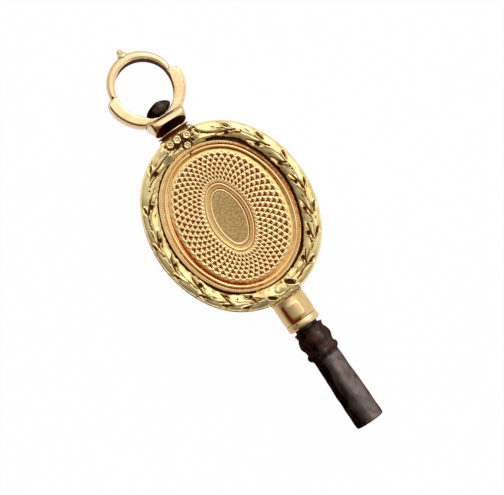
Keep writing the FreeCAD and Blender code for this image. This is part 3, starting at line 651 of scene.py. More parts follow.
def saddle(end):
    """The soldered piece that carries the band out to a straight foot, chased where the
    garland starts and ends. Its edges sink into the band."""
    columns, rows = 113, 69
    x = np.repeat(np.linspace(-SADDLE_REACH, SADDLE_REACH, columns)[None], rows, 0)
    end_centre = HALF_LENGTH - END_RADIUS
    outline, start = (end_centre + np.sqrt((END_RADIUS - inset) ** 2 - x ** 2)
                      for inset in (0, BAND_WIDTH - 0.05))
    foot = outline + (NECK_FOOT - outline) * fading(1.85, 2.3, np.abs(x))
    y = start + (foot - start) * np.linspace(0, 1, rows)[:, None]
    inset = END_RADIUS - np.hypot(x, y - end_centre)
    band = np.interp(inset, *np.array(band_line).T)
    drop = (0.32 if end > 0 else 0.12) * smooth(0, 1.3, CREST_INSET - inset)
    dome = np.where(inset > CREST_INSET, band, BAND_DEPTH - drop)
    spill = smooth(2.0, 2.4, np.abs(x))
    height = dome * (1 - spill) + (band - 0.12) * spill - 0.02 - 0.4 * fading(0, 0.1, y - start)
    height, hollow = (blossom_ground if end > 0 else pipe_end)(x, y, height)
    height = np.minimum(height - 0.07 * fading(0, 0.1, foot - y), BAND_DEPTH)

    # Closed down to a flat foot, row by row round the edge
    grid = np.arange(rows * columns).reshape(rows, columns)
    rim = np.concatenate([grid[0], grid[1:, -1], grid[-1, -2::-1], grid[-2:0:-1, 0]])
    top = np.stack([end * x, end * y, height], -1).reshape(-1, 3)
    around = len(rim)
    low = rows * columns + np.arange(around)
    faces = woven(rows, columns, False, False).tolist()
    for upper, lower in ((rim, low), (low, low + around)):
        faces += np.stack([np.roll(upper, -1), upper, lower, np.roll(lower, -1)], 1).tolist()
    faces.append((low + around)[::-1].tolist())
    points = np.concatenate([top, top[rim] - (0, 0, SKIRT), top[rim] * (1, 1, 0)])
    return new_mesh(points, faces, hollow=np.append(hollow, np.full(2 * around, 0.25)))


# Each blossom: its place, its radius, and which way its cup is deepest
BLOSSOMS = (
    (-1.16, 10.66, 0.48, -0.6), (-0.17, 10.70, 0.52, -1.6), (1.04, 10.60, 0.50, 2.6),
    (2.0, 10.46, 0.38, 0.4), (0.48, 9.55, 0.46, 1.5),
)
# Ovals on the saddles: the place, the half length and half width, and the turn
LOBES = ((-1.85, 10.08, 0.75, 0.14, 0.05), (-0.98, 9.86, 0.42, 0.13, -0.55),
         (-1.75, 9.74, 0.80, 0.20, 0.22), (1.72, 11.18, 0.30, 0.20, 1.3),
         (2.05, 10.25, 0.34, 0.20, -0.9), (1.28, 10.12, 0.32, 0.17, -0.5),
         (1.85, 9.72, 0.55, 0.14, -0.15), (-1.72, 10.55, 0.26, 0.15, 0.9),
         (-0.66, 10.30, 0.22, 0.12, 0.2))
CREVICES = ((-0.58, 9.98, 0.352, 0.22, 0.5), (-1.98, 10.62, 0.32, 0.2, 0.9),
            (1.32, 9.75, 0.256, 0.16, -0.8), (-1.35, 10.2, 0.208, 0.13, -0.5),
            (2.2, 11.3, 0.192, 0.12, 1.2))
SLITS = ((-1.40, 10.08, 0.74, 0.30, -0.68), (1.38, 10.50, 0.62, 0.21, -0.66))


def oval_away(x, y, cx, cy, long, wide, turn):
    """How far places are from an oval's middle: 1 on its edge."""
    c, s = math.cos(turn), math.sin(turn)
    return np.hypot(((x - cx) * c + (y - cy) * s) / long, ((y - cy) * c - (x - cx) * s) / wide)


def blossom_ground(x, y, height):
    """The chasing at the bow's end, with a cup for each blossom. Gives the new height and how
    dark it is."""
    rough = ripple(np.stack([x, y], -1), 0.55, 41)
    ground = smooth(9.45, 9.8, y) * fading(11.2, 11.42, y) * fading(1.6, 2.1, np.abs(x))
    height = height - ground * (0.14 + 0.04 * rough)
    hollow = ground * np.clip(0.35 + 0.5 * rough, -0.4, 0.9)
    for oval in LOBES:
        away = oval_away(x, y, *oval)
        lobe = fading(0.3, 1.0, away)
        height += 0.13 * lobe
        hollow = np.where(lobe > 0.2, -0.5 * lobe,
                          np.maximum(hollow, 0.8 * bump_at(away, 1.25, 0.2)))
    cuts = [(smooth(11.28, 11.40, y), 0.05, 1.1)]
    for cx, cy, radius, deep in BLOSSOMS:
        turned_to = 0.7 + 0.4 * np.cos(np.arctan2(y - cy, x - cx) - deep)
        trench = fading(radius + 0.06, radius + 0.26, np.hypot(x - cx, y - cy))
        cuts.append((trench * turned_to, 0.27, 1.5))
    cuts += [(fading(0.7, 1.15, oval_away(x, y, *oval)), 0.3, 1.3) for oval in CREVICES]
    return cut_in(height, hollow, cuts)


def pipe_end(x, y, height):
    """The chasing at the pipe's end: a boss between two slits, and two seams."""
    rough = ripple(np.stack([x, y], -1), 0.55, 41)
    inside = fading(1.6, 2.1, np.abs(x))
    boss = oval_away(x, y, 0.0, 10.05, 0.74, 0.50, 0)
    slits = [oval_away(x, y, *oval) for oval in SLITS]
    height = height + 0.02 * inside * rough + 0.07 * np.maximum(1 - boss ** 2, 0)
    height += 0.05 * sum(bump_at(away, 1.35, 0.2) for away in slits)
    return cut_in(height, inside * np.clip(0.16 * rough, -0.3, 0.3), [
        (bump_at(boss, 1.08, 0.13) * (0.6 + 0.4 * rough), 0.08, 0.45),
        (bump_at(y, 10.84 + 0.05 * np.cos(3 * x), 0.05) * fading(0.7, 1.2, np.abs(x + 0.2)),
         0.06, 0.85),
        (bump_at(y, 11.34 + 0.05 * np.cos(2 * x + 0.5), 0.08) * inside, 0.07, 0.75),
        *((fading(0.75, 1.05, away), 0.35, 1.3) for away in slits)])


def cut_in(height, hollow, cuts):
    """Sinks cuts, each with where it is, how deep and how dark."""
    for share, depth, dark in cuts:
        height, hollow = height - depth * share, np.maximum(hollow, dark * share)
    return height, hollow


def blossoms():
    """Five round blossoms in their cups, each domed round a dimple."""
    reach, tall, marks = np.array([
        (0, -0.25, 1), (0.8, -0.25, 1), (0.96, -0.08, 0.8), (1.0, 0.02, 0.2), (0.93, 0.14, -0.4),
        (0.78, 0.19, -0.5), (0.6, 0.15, -0.1), (0.46, 0.05, 0.3), (0.36, 0.02, 0.4),
        (0.22, 0.08, 0.2), (0.1, 0.12, 0.1), (0, 0.13, 0)]).T[..., None]
    sides, petals, cup_floor = 36, 6, 2.30
    angle = np.arange(sides) * TURN / sides
    meshes = []
    for index, (x, y, radius, _) in enumerate(BLOSSOMS):
        notch = smooth(0.45, 0.8, reach) * (0.5 + 0.5 * np.cos(angle * petals + index)) ** 3
        radii = reach * radius * 0.92 * (1 - 0.07 * notch)
        height = tall * 0.62 - 0.03 * notch + cup_floor - 0.12 * smooth(11.0, 11.5, y)
        meshes.append(lofted(row_of(x + radii * np.cos(angle), y + radii * np.sin(angle), height,
                                    marks + 0.4 * notch), "hollow"))
    return joined(meshes)


# ---- what geometry nodes lay round the oval

def curve_of(name, points, closed):
    curve = bpy.data.curves.new(name, "CURVE")
    curve.dimensions = "3D"
    line = curve.splines.new("POLY")
    line.points.add(len(points) - 1)
    line.points.foreach_set("co", [v for p in points for v in (p[0], p[1], 0, 1)])
    line.use_cyclic_u = closed
    return bpy.data.objects.new(name, curve)


def geometry_tree(name, inputs):
    """A tree of geometry nodes with named inputs of each kind, and what they give it."""
    tree = bpy.data.node_groups.new(name, "GeometryNodeTree")
    tree.interface.new_socket(name="Geometry", in_out="OUTPUT", socket_type="NodeSocketGeometry")
    for kind, labels in {"Material": ["Finish"], **inputs}.items():
        for label in labels:
            tree.interface.new_socket(name=label, in_out="INPUT", socket_type="NodeSocket" + kind)
    wires = Wiring(tree)
    return wires, wires.node("NodeGroupInput").outputs


def shape_of(wires, thing):
    return wires.node("GeometryNodeObjectInfo", {"Object": thing}).outputs["Geometry"]


def ended(wires, geometry, given):
    """The tree, ended in real geometry with its finish."""
    real = wires.node("GeometryNodeRealizeInstances", {0: geometry}).outputs[0]
    done = wires.node("GeometryNodeSetMaterial", {"Geometry": real, "Material": given["Finish"]})
    wires.node("NodeGroupOutput", {0: done.outputs[0]})
    return wires.tree


def row_tree():
    """A row of one ornament, each a little out of line, set along a path and bent to it."""
    wires, given = geometry_tree("row laid round the oval", {
        "Object": ["Path", "Section", "Ornament"], "Int": ["Count", "Seed"],
        "Float": ["Pitch", "Across", "Across spread", "Turn spread", "Scale spread",
                  "Path length", "Section length"]})
    node, maths = wires.node, wires.maths

    def vector(x=0.0, y=0.0, z=0.0):
        return node("ShaderNodeCombineXYZ", {0: x, 1: y, 2: z}).outputs[0]

    def parts(value):
        return node("ShaderNodeSeparateXYZ", {0: value}).outputs

    def vector_maths(operation, first, second):
        return node("ShaderNodeVectorMath", {0: first, 1: second}, operation=operation).outputs[0]

    def chance(name, shift):
        spread = given[name + " spread"]
        return node("FunctionNodeRandomValue", {
            2: maths("MULTIPLY", spread, -1.0), 3: spread,
            "Seed": maths("ADD", given["Seed"], shift)}, data_type="FLOAT").outputs[1]

    def sampled(name, share):
        return node("GeometryNodeSampleCurve", {"Curves": shape_of(wires, given[name]),
                                                "Factor": share}, mode="FACTOR").outputs

    row = node("GeometryNodeMeshLine", {
        "Count": given["Count"], "Start Location": vector(y=given["Across"]),
        "Offset": vector(given["Pitch"])}).outputs[0]
    uneven = node("GeometryNodeSetPosition", {"Geometry": row, "Offset": vector(
        maths("MULTIPLY", chance("Across", 5.0), 1.5), chance("Across", 1.0))}).outputs[0]
    size = maths("ADD", chance("Scale", 3.0), 1.0)
    turn = node("FunctionNodeEulerToRotation", {0: vector(z=chance("Turn", 2.0))}).outputs[0]
    real = node("GeometryNodeRealizeInstances", {0: node("GeometryNodeInstanceOnPoints", {
        "Points": uneven, "Instance": shape_of(wires, given["Ornament"]), "Rotation": turn,
        "Scale": vector(size, size, size)}).outputs[0]}).outputs[0]
    x, y, z = parts(node("GeometryNodeInputPosition").outputs[0])
    path = sampled("Path", maths("FRACT", maths("DIVIDE", x, given["Path length"])))
    section = sampled("Section", maths("DIVIDE", y, given["Section length"]))
    inset, tall, _ = parts(section["Position"])
    slope_in, slope_up, _ = parts(section["Tangent"])
    out = node("ShaderNodeVectorMath", {
        0: vector_maths("CROSS_PRODUCT", (0.0, 0.0, 1.0), path["Tangent"]),
        "Scale": maths("SUBTRACT", maths("MULTIPLY", slope_up, z), inset)}, operation="SCALE")
    up = vector(z=maths("ADD", tall, maths("MULTIPLY", slope_in, z)))
    laid = node("GeometryNodeSetPosition", {"Geometry": real, "Position": vector_maths(
        "ADD", vector_maths("ADD", path["Position"], out.outputs[0]), up)}).outputs[0]
    return ended(wires, node("GeometryNodeFlipFaces", {0: laid}).outputs[0], given)


def wire_tree():
    """A section swept along a path, with its front up."""
    wires, given = geometry_tree("wire round the oval", {"Object": ["Path", "Section"]})
    path = wires.node("GeometryNodeSetCurveNormal", {0: shape_of(wires, given["Path"])},
                      mode="Z_UP").outputs[0]
    return ended(wires, wires.node("GeometryNodeCurveToMesh", {
        "Curve": path, "Profile Curve": shape_of(wires, given["Section"])}).outputs[0], given)


def run_tree(tree, **values):
    """The mesh that a node tree makes from these inputs."""
    seed = linked("seed", bpy.data.meshes.new("seed"))
    step = seed.modifiers.new("tree", "NODES")
    step.node_group = tree
    sockets = {item.name: item.identifier for item in tree.interface.items_tree
               if item.item_type == "SOCKET" and item.in_out == "INPUT"}
    for name, value in values.items():
        step[sockets[name.replace("_", " ")]] = value
    seed.update_tag()
    return evaluated(seed)


path_curve = curve_of("oval path", loop_points, True)


def right_side(bearing):
    """How much darker the bezel's step is, most towards the right."""
    return 0.66 * smooth(0.35, 0.9, np.cos(bearing - 0.1))


def milled_bar():
    """One rib of the milling on the bezel's step."""
    rings = ((0.13, 0.055, -0.04, 0.9), (0.13, 0.055, 0.0, 0.8), (0.10, 0.025, 0.045, 0.0))
    points = [(x * wide, y * long, height) for long, wide, height, _ in rings
              for x, y in ((-1, -1), (1, -1), (1, 1), (-1, 1))]
    return new_mesh(points, woven(3, 4).tolist() + [[3, 2, 1, 0], [8, 9, 10, 11]],
                    hollow=np.repeat([ring[3] for ring in rings], 4))


RIBS, STEP_START, STEP_END, STEP_HEIGHT = 224, 2.34, 2.62, 1.72


def milling():
    """The ribs round the bezel's step, a little uneven."""
    step = curve_of("step", [(STEP_START, STEP_HEIGHT), (STEP_END, STEP_HEIGHT)], False)
    mesh = run_tree(
        row_tree(), Path=path_curve, Path_length=LOOP_LENGTH, Section=step,
        Section_length=STEP_END - STEP_START, Finish=ROSE_GOLD, Count=RIBS, Seed=5,
        Ornament=bpy.data.objects.new("milled bar", milled_bar()), Pitch=LOOP_LENGTH / RIBS,
        Across=0.16, Across_spread=0.02, Turn_spread=0.12, Scale_spread=0.25)
    for point, hollow in zip(mesh.vertices, mesh.attributes["hollow"].data):
        hollow.value = max(hollow.value, right_side(math.atan2(point.co.y, point.co.x)) - 0.1)
    return mesh


def bezel():
    """The wire that holds the plate: a step outside, a reed, and a low lip inside. Its sections
    come out of the node tree in order, so the dirt and a nick are laid on the same grid."""
    floor = PLATE_TOP + 0.005
    line = softened(profile([
        (2.31, floor), (2.31, floor + 0.16), (2.36, floor + 0.21), (2.60, floor + 0.21),
        (2.66, floor + 0.10), (2.76, floor + 0.09),
        (2.93, floor + 0.36, "level last"), (3.09, floor + 0.11, "level first"),
        (3.15, floor + 0.03), (3.25, floor + 0.02), (3.25, floor),
    ], True), 0.02, True)
    section = curve_of("bezel section", [(inset, -height) for inset, height in line], True)
    mesh = run_tree(wire_tree(), Path=path_curve, Section=section, Finish=ROSE_GOLD)
    points = np.array([point.co for point in mesh.vertices]).reshape(LOOP_STEPS, len(line), 3)
    x, y, z = np.moveaxis(points, -1, 0)
    rise, inset, bearing = z - floor, np.array(line)[:, 0], np.arctan2(y, x)
    nick = bump_at(x, 0.17, 0.16) * (y > 0) * fading(0.14, 0.2, np.abs(inset - 2.93))
    slip = (0.14 * np.cos(bearing + 0.35) - 0.04) * fading(2.36, 2.6, inset)
    grimy = 0.60 - 0.45 * np.cos(2 * (bearing - 2.4))
    hollow = np.maximum(nick, grimy * np.interp(
        rise, [0.03, 0.10, 0.16, 0.20, 0.26, 0.36], [1.0, 0.9, 0.6, 0.35, -0.2, -0.6]))
    hollow = np.maximum(hollow, right_side(bearing) * (inset < 2.65))
    points[..., 2] -= 0.1 * nick * (rise > 0.1)
    points[..., :2] -= loop_outs[:, None] * slip[..., None]
    return new_mesh(points, [face.vertices for face in mesh.polygons], hollow=hollow)


# ---- engine-turned plates

PITS, ROWS, CELL_STEPS, ROW_STEPS = 52, 7, 14, 11
CELL_SHAPE, ZIGZAG, CREST_RISE, CUT_DEPTH = 1.65, 1.35, 0.07, 0.13
# Ovals: half length, half width and end radius
FIELD, CARTOUCHE = (7.93, 6.28, 5.78), (4.28, 2.49, 1.55)
CARTOUCHE_CENTRE, LEAN = np.array([-0.17, 0.0]), math.radians(-6.5)
# The cartouche's profile: inset, height, hollow, more hollow on its grimy side, and satin
CARTOUCHE_EDGE = (
    (0.97, -0.01, 0.0, 0, 1), (0.93, -0.02, 0.2, 0, 0.7), (0.90, 0.02, 0, 0, 0),
    (0.86, 0.08, -0.5, 0, 0), (0.80, 0.105, -0.6, 0, 0), (0.74, 0.095, -0.5, 0, 0),
    (0.70, 0.05, 0, 0.7, 0), (0.66, -0.03, 0.3, 1.1, 0), (0.58, -0.04, 0.1, 1.1, 0.3),
    (0.50, -0.03, 0.15, 0.1, 0.8), (0.36, -0.03, 0.2, 0, 0.8), (0.28, -0.02, 0.25, 0, 0.4),
    (0.25, 0.03, 0, 0, 0), (0.21, 0.09, -0.5, 0, 0), (0.15, 0.115, -0.6, 0, 0),
    (0.09, 0.10, -0.5, 0, 0), (0.05, 0.04, 0, 0.6, 0), (0.01, -0.03, 0.2, 1.2, 0),
    (-0.05, -0.05, 0.1, 1.2, 0),
)


def oval_at(shape, angles, inset=0.0):
    """Points of an oval at the directions in which an ellipse of its size is divided evenly."""
    half_length, half_width, end_radius = (size - inset for size in shape)
    points = oval_loop(half_length, half_width, end_radius, 2400)[0]
    bearing = np.arctan2(points[:, 1], points[:, 0])
    order = np.argsort(bearing)
    want = np.arctan2(half_length * np.sin(angles), half_width * np.cos(angles))
    radius = np.interp(want, bearing[order], np.linalg.norm(points, axis=1)[order], period=TURN)
    return np.stack([radius * np.cos(want), radius * np.sin(want)], 1)


def from_cut(x, y):
    """How far a place in a cell is from its three-armed cut, in row spacings."""
    near = np.full(x.shape, 9.0)
    for end_x, end_y in ((-0.48, 0.26), (0.48, 0.26), (0.0, -0.50)):
        part = np.clip((x * end_x + y * end_y) / (end_x ** 2 + end_y ** 2), 0, 1)
        near = np.minimum(near, np.hypot(x - part * end_x, y - part * end_y) + 0.06 * part)
    return near


def engine_turning(angles, level):
    """Depth of the cuts, and height of the zigzag crests between them, with every other row
    shifted by half a cut."""
    around = angles * PITS / TURN
    near, crest = np.full((2, len(around)), 9.0)
    for shift in (0, 1):
        row = math.floor(level) + shift
        if 0 < row < ROWS:
            x = around - 0.5 * (row % 2)
            near = np.minimum(near, from_cut(CELL_SHAPE * (x - np.round(x)), level - row))
        row = math.floor(level - 0.5) + shift
        swing = np.sin(ZIGZAG * np.cos(TURN * (around - 0.5 * (row % 2)))) / math.sin(ZIGZAG)
        crest = np.minimum(crest, np.abs(level - row - 0.52 - 0.24 * swing) / 1.2)
    return fading(0.08, 0.20, near), fading(0.13, 0.32, crest)


def plate():
    """One plate: a satin cartouche in two ridges, the engine turning, and a dark channel."""
    angles = np.arange(PITS * CELL_STEPS) * TURN / (PITS * CELL_STEPS)
    spin = np.array([[math.cos(LEAN), math.sin(LEAN)], [-math.sin(LEAN), math.cos(LEAN)]])
    top = PLATE_TOP + 0.05
    rows = []

    def ring(points, height, hollow, satin=0.0):
        rows.append(row_of(*points.T, height, hollow, satin))

    def cartouche(inset):
        shape = np.array(CARTOUCHE) - inset * np.array([1.14, 1, 0.6])
        return oval_at(shape, angles) @ spin + CARTOUCHE_CENTRE

    for part in np.linspace(0, 0.95, 7):
        middle = CARTOUCHE_CENTRE + (cartouche(0.99) - CARTOUCHE_CENTRE) * part
        ring(middle, top - 0.03 + 0.02 * part ** 2, 0.0, 1.0)
    grimy = 0.5 + 0.5 * np.cos(angles - 0.3)
    for inset, height, hollow, grime, satin in CARTOUCHE_EDGE:
        ring(cartouche(inset), top + height, hollow + grime * grimy, satin)
    start, finish = cartouche(-0.10), oval_at(FIELD, angles)
    for level in np.linspace(0, ROWS, ROWS * ROW_STEPS + 1):
        cut, crest = engine_turning(angles, level)
        fade = smooth(0, 0.3, level) * fading(ROWS - 0.25, ROWS, level)
        ring(start + (finish - start) * level / ROWS,
             top - 0.04 + fade * (CREST_RISE * crest - CUT_DEPTH * cut),
             np.where(cut > 0.05, 0.4 + 1.2 * cut, 0.5 - 1.2 * smooth(0.55, 0.95, crest)) * fade
             + 0.3 * (1 - fade))
    # The channel round the field is darker towards the lower left
    lower_left_dark = 0.5 * smooth(0.2, 0.9, -0.85 * np.cos(angles) - 0.5 * np.sin(angles))
    for outset, height, hollow in ((0.03, -0.05, 0.2), (0.10, -0.06, 0.3), (0.22, -0.06, 0.45),
                                   (0.28, -0.06, 0.9)):
        ring(oval_at(FIELD, angles, -outset), top + height, hollow + lower_left_dark)
    edge = oval_at((HALF_LENGTH, HALF_WIDTH, END_RADIUS), angles, PLATE_EDGE)
    middle = CARTOUCHE_CENTRE + 0 * edge
    for points, height in ((edge, top - 0.06), (edge, LEDGE), (middle, LEDGE)):
        ring(points, height, 1.0)
    return lofted(rows, "hollow", "satin")


# ---- the front and back of the frame

FRAME = (
    ("chased_band_", band_shell(), GREEN_GOLD, "green_gold", "rim_"),
    ("end_saddles_", joined([saddle(1), saddle(-1), blossoms()]), GREEN_GOLD, "green_gold"),
    ("turned_plate_", plate(), ROSE_GOLD, "rose_gold", "plate_"),
    ("reeded_bezel_", bezel(), ROSE_GOLD, "rose_gold", "bezel_"),
    ("milled_ribs_", milling(), ROSE_GOLD, "rose_gold"),
)
for side, where in (("front", KEY), ("back", BACK)):
    for piece, mesh, finish, slot, *node in FRAME:
        placed(piece + side, mesh.copy(), where, finish, "key_body", slot,
               *(name + side for name in node))


# ---- neck, ferrule and pipe

TUBE_START, TUBE_BORE, FLANGE_TOP = HALF_LENGTH - 1.8, 0.46, NECK_FOOT + 0.5
FERRULE_END = NECK_FOOT + 3.78
BRIM = FERRULE_END + 0.35
CUSHION_HALF_WIDTH, CUSHION_HALF_LENGTH, CUSHION_RISE = 1.12, 1.2, 0.14
NECK = (
    (TUBE_BORE, TUBE_START), (0.8, TUBE_START), (0.8, NECK_FOOT), (2.0, NECK_FOOT),
    (1.72, NECK_FOOT + 0.18, "upright last"), (2.02, NECK_FOOT + 0.34, "upright first"),
    (2.1, NECK_FOOT + 0.38), (2.1, FLANGE_TOP), (TUBE_BORE, FLANGE_TOP), (TUBE_BORE, TUBE_START),
)
FERRULE = (
    (1.01, NECK_FOOT), (2.02, NECK_FOOT), (2.04, NECK_FOOT + 1.8),
    (1.97, FERRULE_END - 0.95, "upright first"), (1.93, FERRULE_END - 0.88),
    (2.05, FERRULE_END - 0.4, "upright last"), (1.85, FERRULE_END, "upright first"),
    (1.01, FERRULE_END), (1.01, NECK_FOOT),
)


def cushioned(points, hollow, **_):
    """Raises a low square cushion in front and behind on the ferrule. Its left and lower flanks get
    painted shade and its upper and right rim a painted highlight; the bead below gets mottled
    darkening on its shaded left and a painted highlight on its right.
    """
    x, y, z = points.T.copy()
    reach = np.hypot(x, z)
    side, tail = (x + 0.05) / CUSHION_HALF_WIDTH, (y - NECK_FOOT - 1.58) / CUSHION_HALF_LENGTH
    away = (np.abs(side) ** 5 + np.abs(tail) ** 5) ** 0.2
    # Painted shade on the cushion's left and lower flanks, the sides away from the lamps
    shaded_flank = smooth(0.6, 0.76, away) * fading(1.08, 1.3, away) * np.maximum(
        smooth(0.2, 0.7, side) * smooth(-1.2, -0.4, tail + side - 0.9),
        smooth(0.3, 0.8, tail) * smooth(-0.3, 0.2, side))
    # Painted highlight along the cushion's upper and right rim, towards the lamps
    rim = bump_at(away, 0.66, 0.07) * np.maximum(smooth(0.1, 0.5, -side), smooth(0.1, 0.5, -tail))
    bead = smooth(FERRULE_END - 0.85, FERRULE_END - 0.6, y)
    mottle = np.maximum(0, 0.5 + 0.6 * ripple(points, 0.5, 19))
    # The bead: mottled darkening on its shaded left, painted highlight on its right
    stain_and_painted_light = np.select([bead > 0, shaded_flank > 0.02, rim > 0.05], [
        bead * (mottle * bump_at(x, 0.65, 0.4) - 0.6 * bump_at(x, -0.8, 0.35)),
        np.maximum(hollow, shaded_flank * (0.45 + 0.8 * smooth(0.72, 1.02, away))), -0.6 * rim], hollow)
    outer = (reach >= 1.6) & (np.abs(z) >= 0.8)
    hollow[outer] = stain_and_painted_light[outer]
    points[outer, ::2] *= (1 + CUSHION_RISE / reach * fading(0.62, 1.0, away))[outer, None]


def neck_dirt(radius, height):
    return np.where((radius < 2.02) & (height < NECK_FOOT + 0.42), 0.95, 0.1)


def ferrule_dirt(radius, height):
    return np.maximum(0.7 * bump_at(height, FERRULE_END - 0.9, 0.06), 0.9 * (radius < 1.1))


placed("neck_turning", turned(drawn(NECK, 0.03, 0.1), 96, (0.02, 2.0, 4), neck_dirt),
       KEY, YELLOW_GOLD, "key_body", "yellow_gold", "body_neck")
placed("ferrule_turning", turned(drawn(FERRULE, 0.06, 0.07), 160, (0.02, 2.6, 8), ferrule_dirt,
                                 shaped=cushioned),
       TAIL, FERRULE_GOLD, "key_body", "yellow_gold", "ferrule")

TANG_LENGTH, TANG_RADIUS, PIPE_LENGTH, PIPE_RADIUS = 7.0, 1.0, 9.05, 1.79
DRILL_DEPTH, DRILL_SHOULDER, DRILL_RADIUS = 6.75, 6.3, 0.68
SOCKET_SIDE, SOCKET_DEPTH, PAST = 1.5, 5, 1


def steel_pipe():
    """The turned baluster and pipe on its tang, with its drilling and square socket cut in."""
    corners = [(0, FERRULE_END - TANG_LENGTH), (TANG_RADIUS, FERRULE_END - TANG_LENGTH),
               (TANG_RADIUS, FERRULE_END), (1.41, FERRULE_END), (1.41, BRIM)]
    height = BRIM
    for radius, run, *manner in (
        (1.88, 0.13), (1.74, 0.62, "upright last"), (2.04, 0.98, "upright last"),
        (1.98, 0.29, "upright first"), (1.78, 0.78, "upright last"), (2.02, 0.46, "upright last"),
        (1.72, 0.46, "upright first"), (1.65, 0.3, "upright last"), (PIPE_RADIUS, 6.05),
        (PIPE_RADIUS, 2.8), (1.59, 0.2, "level last"),
    ):
        height += run
        corners.append((radius, height, *manner))
    tip, start = height, height - PIPE_LENGTH

    def rusted(points, hollow, worn):
        """The turning, up to the ring of points where the pipe starts, is less pale: less wear and
        less painted light.
        """
        turning = points[:, 1] < start + 0.001
        worn[turning] *= 0.45
        hollow[turning] = 0.11

    # The pipe is turned end for end, so -1 puts its paler side towards the lamps: painted light
    body = linked("pipe", turned(drawn([*corners, (0, tip)], 0.05, 0.12), 112, (0.03, 2.2, 12),
                                 lighter_side=-1, shaped=rusted))
    drill = turned([(0, tip - DRILL_DEPTH), (DRILL_RADIUS, tip - DRILL_SHOULDER),
                    (DRILL_RADIUS, tip + PAST), (0, tip + PAST)], 48)
    square = bpy.data.meshes.new("square")
    work = bmesh.new()
    bmesh.ops.create_cube(work, size=1, matrix=Matrix.Translation(
        (0, tip + (PAST - SOCKET_DEPTH) / 2, 0)) @ Matrix.Diagonal(
            (SOCKET_SIDE, SOCKET_DEPTH + PAST, SOCKET_SIDE, 1)))
    work.to_mesh(square)
    work.free()
    cutters = [linked("cutter", mesh) for mesh in (drill, square)]
    for cutter in cutters:
        cut = body.modifiers.new("cut", "BOOLEAN")
        cut.operation, cut.solver, cut.object = "DIFFERENCE", "EXACT", cutter
    return evaluated(body, *cutters)


placed("steel_pipe", steel_pipe(), TAIL, DARK_STEEL, "key_body", "dark_steel", "key_pipe")


# ---- swivel bow

# Heights above the leaves' feet, radii, and half sizes
EYE, EYE_RADIUS, RING_CENTRE, RING_RADIUS = 4.3, 3.35, 4.77, 4.08
LEAF_CENTRE, LEAF_RADIUS, LEAF_ARC, FOOT_THICKNESS = 4.15, 4.85, 4.35, 0.24
RING_HALF_DEPTH, LEAF_CORNER = 0.7, 0.1
COLLAR_HEIGHT, COLLAR_HALF_WIDTH, COLLAR_HALF_DEPTH = 1.5, 2.42, 0.69
RIVET_HEAD, HEAD_HEIGHT, SHANK_RADIUS = 0.38, 1.56, 0.42


